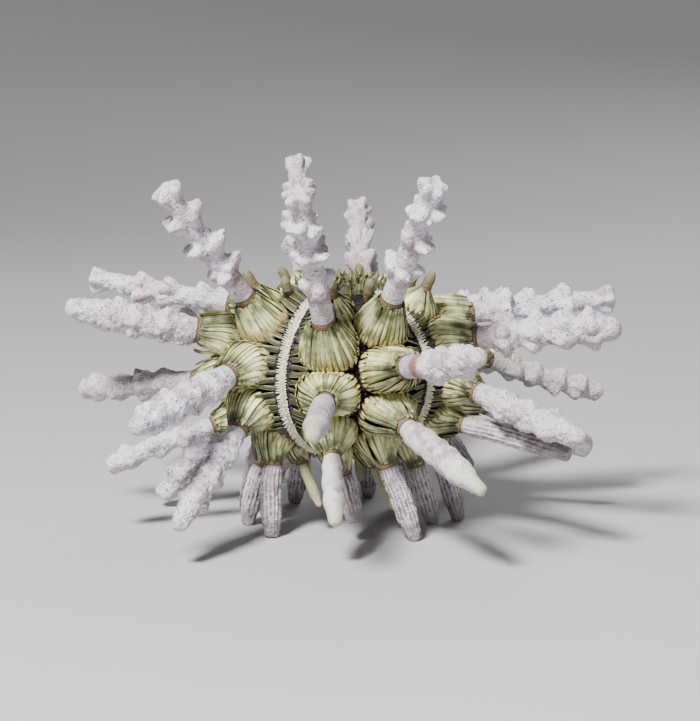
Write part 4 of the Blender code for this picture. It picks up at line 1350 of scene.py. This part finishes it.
COMB_MASK = ("comb", (0.25, 0.75), BAND_IVORY)
BAND_LIME = skinned_lime("band_lime", 2600, 0.7, BAND_COLOURS, (0.7, 0.09 * MM), 0.2, COMB_MASK)
COMB_LIME = comb_lime()
DRIED_FEET = dried_feet()
SIDE_BLADE_LIME = blade_lime("side_blade_lime", 2.6, 0.8, 1.6, 0.75, SIDE_BLADE_COLOURS, 0.3)
for area in AREAS:
    line = FIRST_AREA_LONGITUDE + AREA_STEP * (area - 0.5)
    band_plates(area, line)
    comb_spines(area, line)
    tube_feet(area, line)
    side_blades(area, line)


# The apical disc. It closes the top of the test: five genital plates with a pore each, five
# small ocular plates between them, and scales round the vent in the middle. Erect olive
# blades with pale edges crowd on all of them.
DISC_COLUMNS = 150
DISC_RINGS = 34
POLE_DEPTH = 1.3 * MM
VENT_ARC = 28.2 * MM
# The plates' middles and sizes in mm: genital, ocular, round the vent and on it
GENITAL = (22.4, 2.4)
OCULAR = (20.4, 1.4)
VENT_RING = (25.0, 26.2, 1.1)
VENT_SCALE = (27.3, 0.8)
DISC_BLADES = 120
DISC_BLADE_TRIES = 6000
DISC_BLADE_ARCS = (18.9, 26.2)
DISC_BLADE_SPACE = 0.85 * MM
DISC_BLADE_THICKNESS = 0.26 * MM
DISC_COLOURS = ((0.020, 0.020, 0.009, 1), (0.062, 0.060, 0.026, 1), (0.11, 0.10, 0.06, 1))
DISC_BLADE_COLOURS = ((0.022, 0.024, 0.010, 1), (0.11, 0.115, 0.04, 1), (0.36, 0.36, 0.14, 1))
# The grooves between a pole's plates: where they begin and end, and the skin's share there
GROOVE = (0.15, 0.6, 1.0, 0.0)


def disc_points():
    """Longitude, arc and size of the disc's plates: genital, ocular and vent scales."""
    spots = []
    for area in AREAS:
        middle = FIRST_AREA_LONGITUDE + AREA_STEP * (area - 1)
        spots.append((middle, *GENITAL))
        spots.append((middle + AREA_STEP / 2, *OCULAR))
    nearest, furthest, size = VENT_RING
    for i in range(9):
        spots.append((40.0 * i + rng.uniform(-8, 8), rng.uniform(nearest, furthest), size))
    for i in range(4):
        spots.append((90.0 * i + 20, *VENT_SCALE))
    return spots


def pole_cap(name, up, plates, material, part, dome):
    """The round of plates at a pole, closed below, with a groove between neighbours. Up is
    1 at the top and -1 at the mouth, where the arcs are below the equator."""
    rim = DISC_ARC + SUTURE
    arcs = up * np.linspace(rim, VENT_ARC, DISC_RINGS)
    circle = np.arange(DISC_COLUMNS) * 360.0 / DISC_COLUMNS * up
    arc, longitude = np.meshgrid(arcs, circle, indexing="ij")
    points = on_test(longitude, arc)
    near = []
    for spot_longitude, spot_arc, size in plates:
        centre = on_test(spot_longitude, spot_arc * MM)
        near.append(np.linalg.norm(points - centre, axis=-1) / (size * MM))
    near = np.sort(np.array(near), axis=0)
    groove = np.clip((near[1] - near[0]) / 0.5, 0, 1)
    lift = dome * (np.sqrt(groove) * (1.1 - 0.25 * np.clip(near[0], 0, 1.2) ** 2)) - 0.15 * MM
    top = on_test(longitude, arc, lift)
    under_rim = on_test(circle, arcs[0], -POLE_DEPTH)
    under_pole = on_test(circle, arcs[-1], -POLE_DEPTH)
    rings = np.concatenate([under_pole[None], under_rim[None], top])
    high = np.concatenate([np.zeros((2, DISC_COLUMNS)), groove])
    pile = Pile()
    pile.add_stack(rings, plate=high)
    pile.piece(name, material, part)


def disc_blades():
    """Erect blades on the disc, spaced apart, the outer ones leaning out."""
    taken = []
    straps = []
    for _ in range(DISC_BLADE_TRIES):
        if len(taken) == DISC_BLADES:
            break
        arc = rng.uniform(*DISC_BLADE_ARCS) * MM
        longitude = rng.uniform(0, 360)
        place = on_test(longitude, arc)
        gap = min((np.linalg.norm(place - other) for other in taken), default=1.0)
        if gap < DISC_BLADE_SPACE:
            continue
        taken.append(place)
        facing = out_of_test(longitude, arc)
        side, _ = across(facing)
        outward = unit(np.array([facing[0], facing[1], 0.0]) + 1e-9)
        tall = rng.uniform(1.6, 2.6) * MM * (1 - 0.35 * step_up(arc, 23 * MM, 27 * MM))
        lean = outward * rng.uniform(0.0, 0.3) + rng.normal(0, 0.24, 3)
        end = place + unit(facing + lean) * tall
        turn = rng.uniform(0, math.tau)
        way = side * math.cos(turn) + np.cross(facing, side) * math.sin(turn)
        middle = place + facing * tall * 0.5
        widths = rng.uniform(0.55, 0.8) * MM * limb_widths(1.0, 0.85, 10, 0.4)
        corners = (place - facing * 0.1 * MM, middle, middle, end)
        rings = strap_rings(corners, way, widths, DISC_BLADE_THICKNESS, 0.6)
        straps.append((rings, rng.random()))
    strap_piece("disc_blades", straps, DISC_BLADE_LIME, "apical_disc")


DISC_MASK = ("plate", GROOVE, SKIN_COLOUR)
DISC_LIME = skinned_lime("disc_lime", 2100, 1.0, DISC_COLOURS, (0.8, 0.12 * MM), mask=DISC_MASK)
DISC_BLADE_LIME = blade_lime("disc_blade_lime", 2.2, 1.0, 1.8, 0.85, DISC_BLADE_COLOURS)
pole_cap("disc_plates", 1, disc_points(), DISC_LIME, "apical_disc", 0.62 * MM)
disc_blades()


# The peristome. Round the mouth a flexible skin, now dried stiff, carries rows of thin limy
# scales that overlap, with short flat spines on them, and the white points of the five teeth
# stand in its middle.
MOUTH_SPINE_THICKNESS = 0.22 * MM
# Each round of scales: its arc, how many they are, and their size, in mm
MOUTH_SCALES = ((20.2, 15, 1.5), (22.0, 15, 1.3), (23.8, 10, 1.25), (25.3, 10, 1.0))
MOUTH_COLOURS = ((0.20, 0.15, 0.10, 1), (0.36, 0.30, 0.20, 1), (0.46, 0.41, 0.29, 1))
MOUTH_GROOVE = (0.035, 0.02, 0.018, 1)
TOOTH_WHITE = (0.72, 0.70, 0.63, 1)
TOOTH_CREAM = (0.62, 0.59, 0.50, 1)
TOOTH_ROOT = (0.58, 0.47, 0.30, 1)
TOOTH_ROWS = 12
TOOTH_SIDES = 10


def tooth_lime():
    """White polished lime with faint growth lines and a yellow root."""
    look = new_material("tooth_lime")
    tree = look[1]
    cloud = noise(tree, 1500, 3.0)
    white = blended(tree, cloud, TOOTH_WHITE, TOOTH_CREAM)
    root = spread(tree, painted(tree, "along"), 0.1, 0.6, 0.7, 0.0)
    colour = blended(tree, root, white, TOOTH_ROOT)
    roughness = spread(tree, cloud, 0.3, 0.7, 0.22, 0.4)
    return finished(look, colour, roughness, cloud, 0.3, 0.05 * MM)


def mouth_skin():
    """The skin with its scales, and a short flat spine on each of them."""
    spots = []
    straps = []
    for arc, count, size in MOUTH_SCALES:
        for i in range(count):
            longitude = 360.0 * (i + 0.5 * (arc > 21)) / count
            spots.append((longitude, -arc, size))
            facing = out_of_test(longitude, -arc * MM)
            place = on_test(longitude, -arc * MM, 0.2 * MM)
            inward = unit(np.array([-place[0], -place[1], 0.0]))
            tall = rng.uniform(1.3, 2.2) * MM
            end = place + unit(facing * 0.8 + inward * 0.7 + rng.normal(0, 0.15, 3)) * tall
            middle = place + facing * tall * 0.4
            way = unit(np.cross(facing, inward))
            widths = rng.uniform(0.5, 0.7) * MM * limb_widths(1.0, 0.8, 8, 0.4)
            corners = (place, middle, middle, end)
            rings = strap_rings(corners, way, widths, MOUTH_SPINE_THICKNESS, 0.6)
            straps.append((rings, rng.random()))
    pole_cap("mouth_skin", -1, spots, MOUTH_LIME, "peristome", 0.4 * MM)
    strap_piece("mouth_spines", straps, SIDE_BLADE_LIME, "peristome")


def five_teeth():
    """The points of the teeth, which lean in to each other under the mouth."""
    teeth = Pile()
    bottom = np.array(TEST_CENTRE) - np.array([0, 0, TEST_HALF_HEIGHT])
    rows = np.linspace(0.0, 1.0, TOOTH_ROWS)
    around = np.arange(TOOTH_SIDES) * math.tau / TOOTH_SIDES
    for number in range(5):
        turn = math.radians(FIRST_AREA_LONGITUDE + AREA_STEP * number)
        out = np.array([math.sin(turn), -math.cos(turn), 0.0])
        aside = np.array([math.cos(turn), math.sin(turn), 0.0])
        rings = []
        for share in rows:
            centre = bottom + out * (1.6 - 1.2 * share**1.3) * MM
            centre = centre + np.array([0, 0, 1.2 - 3.6 * share]) * MM
            width = 0.75 * (1 - 0.75 * share**2) * MM
            depth = 0.6 * (1 - 0.7 * share**2) * MM
            ring = aside * np.cos(around)[:, None] * -width
            rings.append(centre + (ring + out * np.sin(around)[:, None] * depth))
        patch = (number / 5 + 0.01, 0.02, 0.18, 0.96)
        teeth.add_stack(np.array(rings), patch, along=rows[:, None])
    teeth.piece("teeth", tooth_lime(), "peristome")


MOUTH_MASK = ("plate", GROOVE, MOUTH_GROOVE)
MOUTH_LIME = skinned_lime(
    "mouth_lime", 3000, 0.8, MOUTH_COLOURS, (0.7, 0.08 * MM), mask=MOUTH_MASK
)
mouth_skin()
five_teeth()
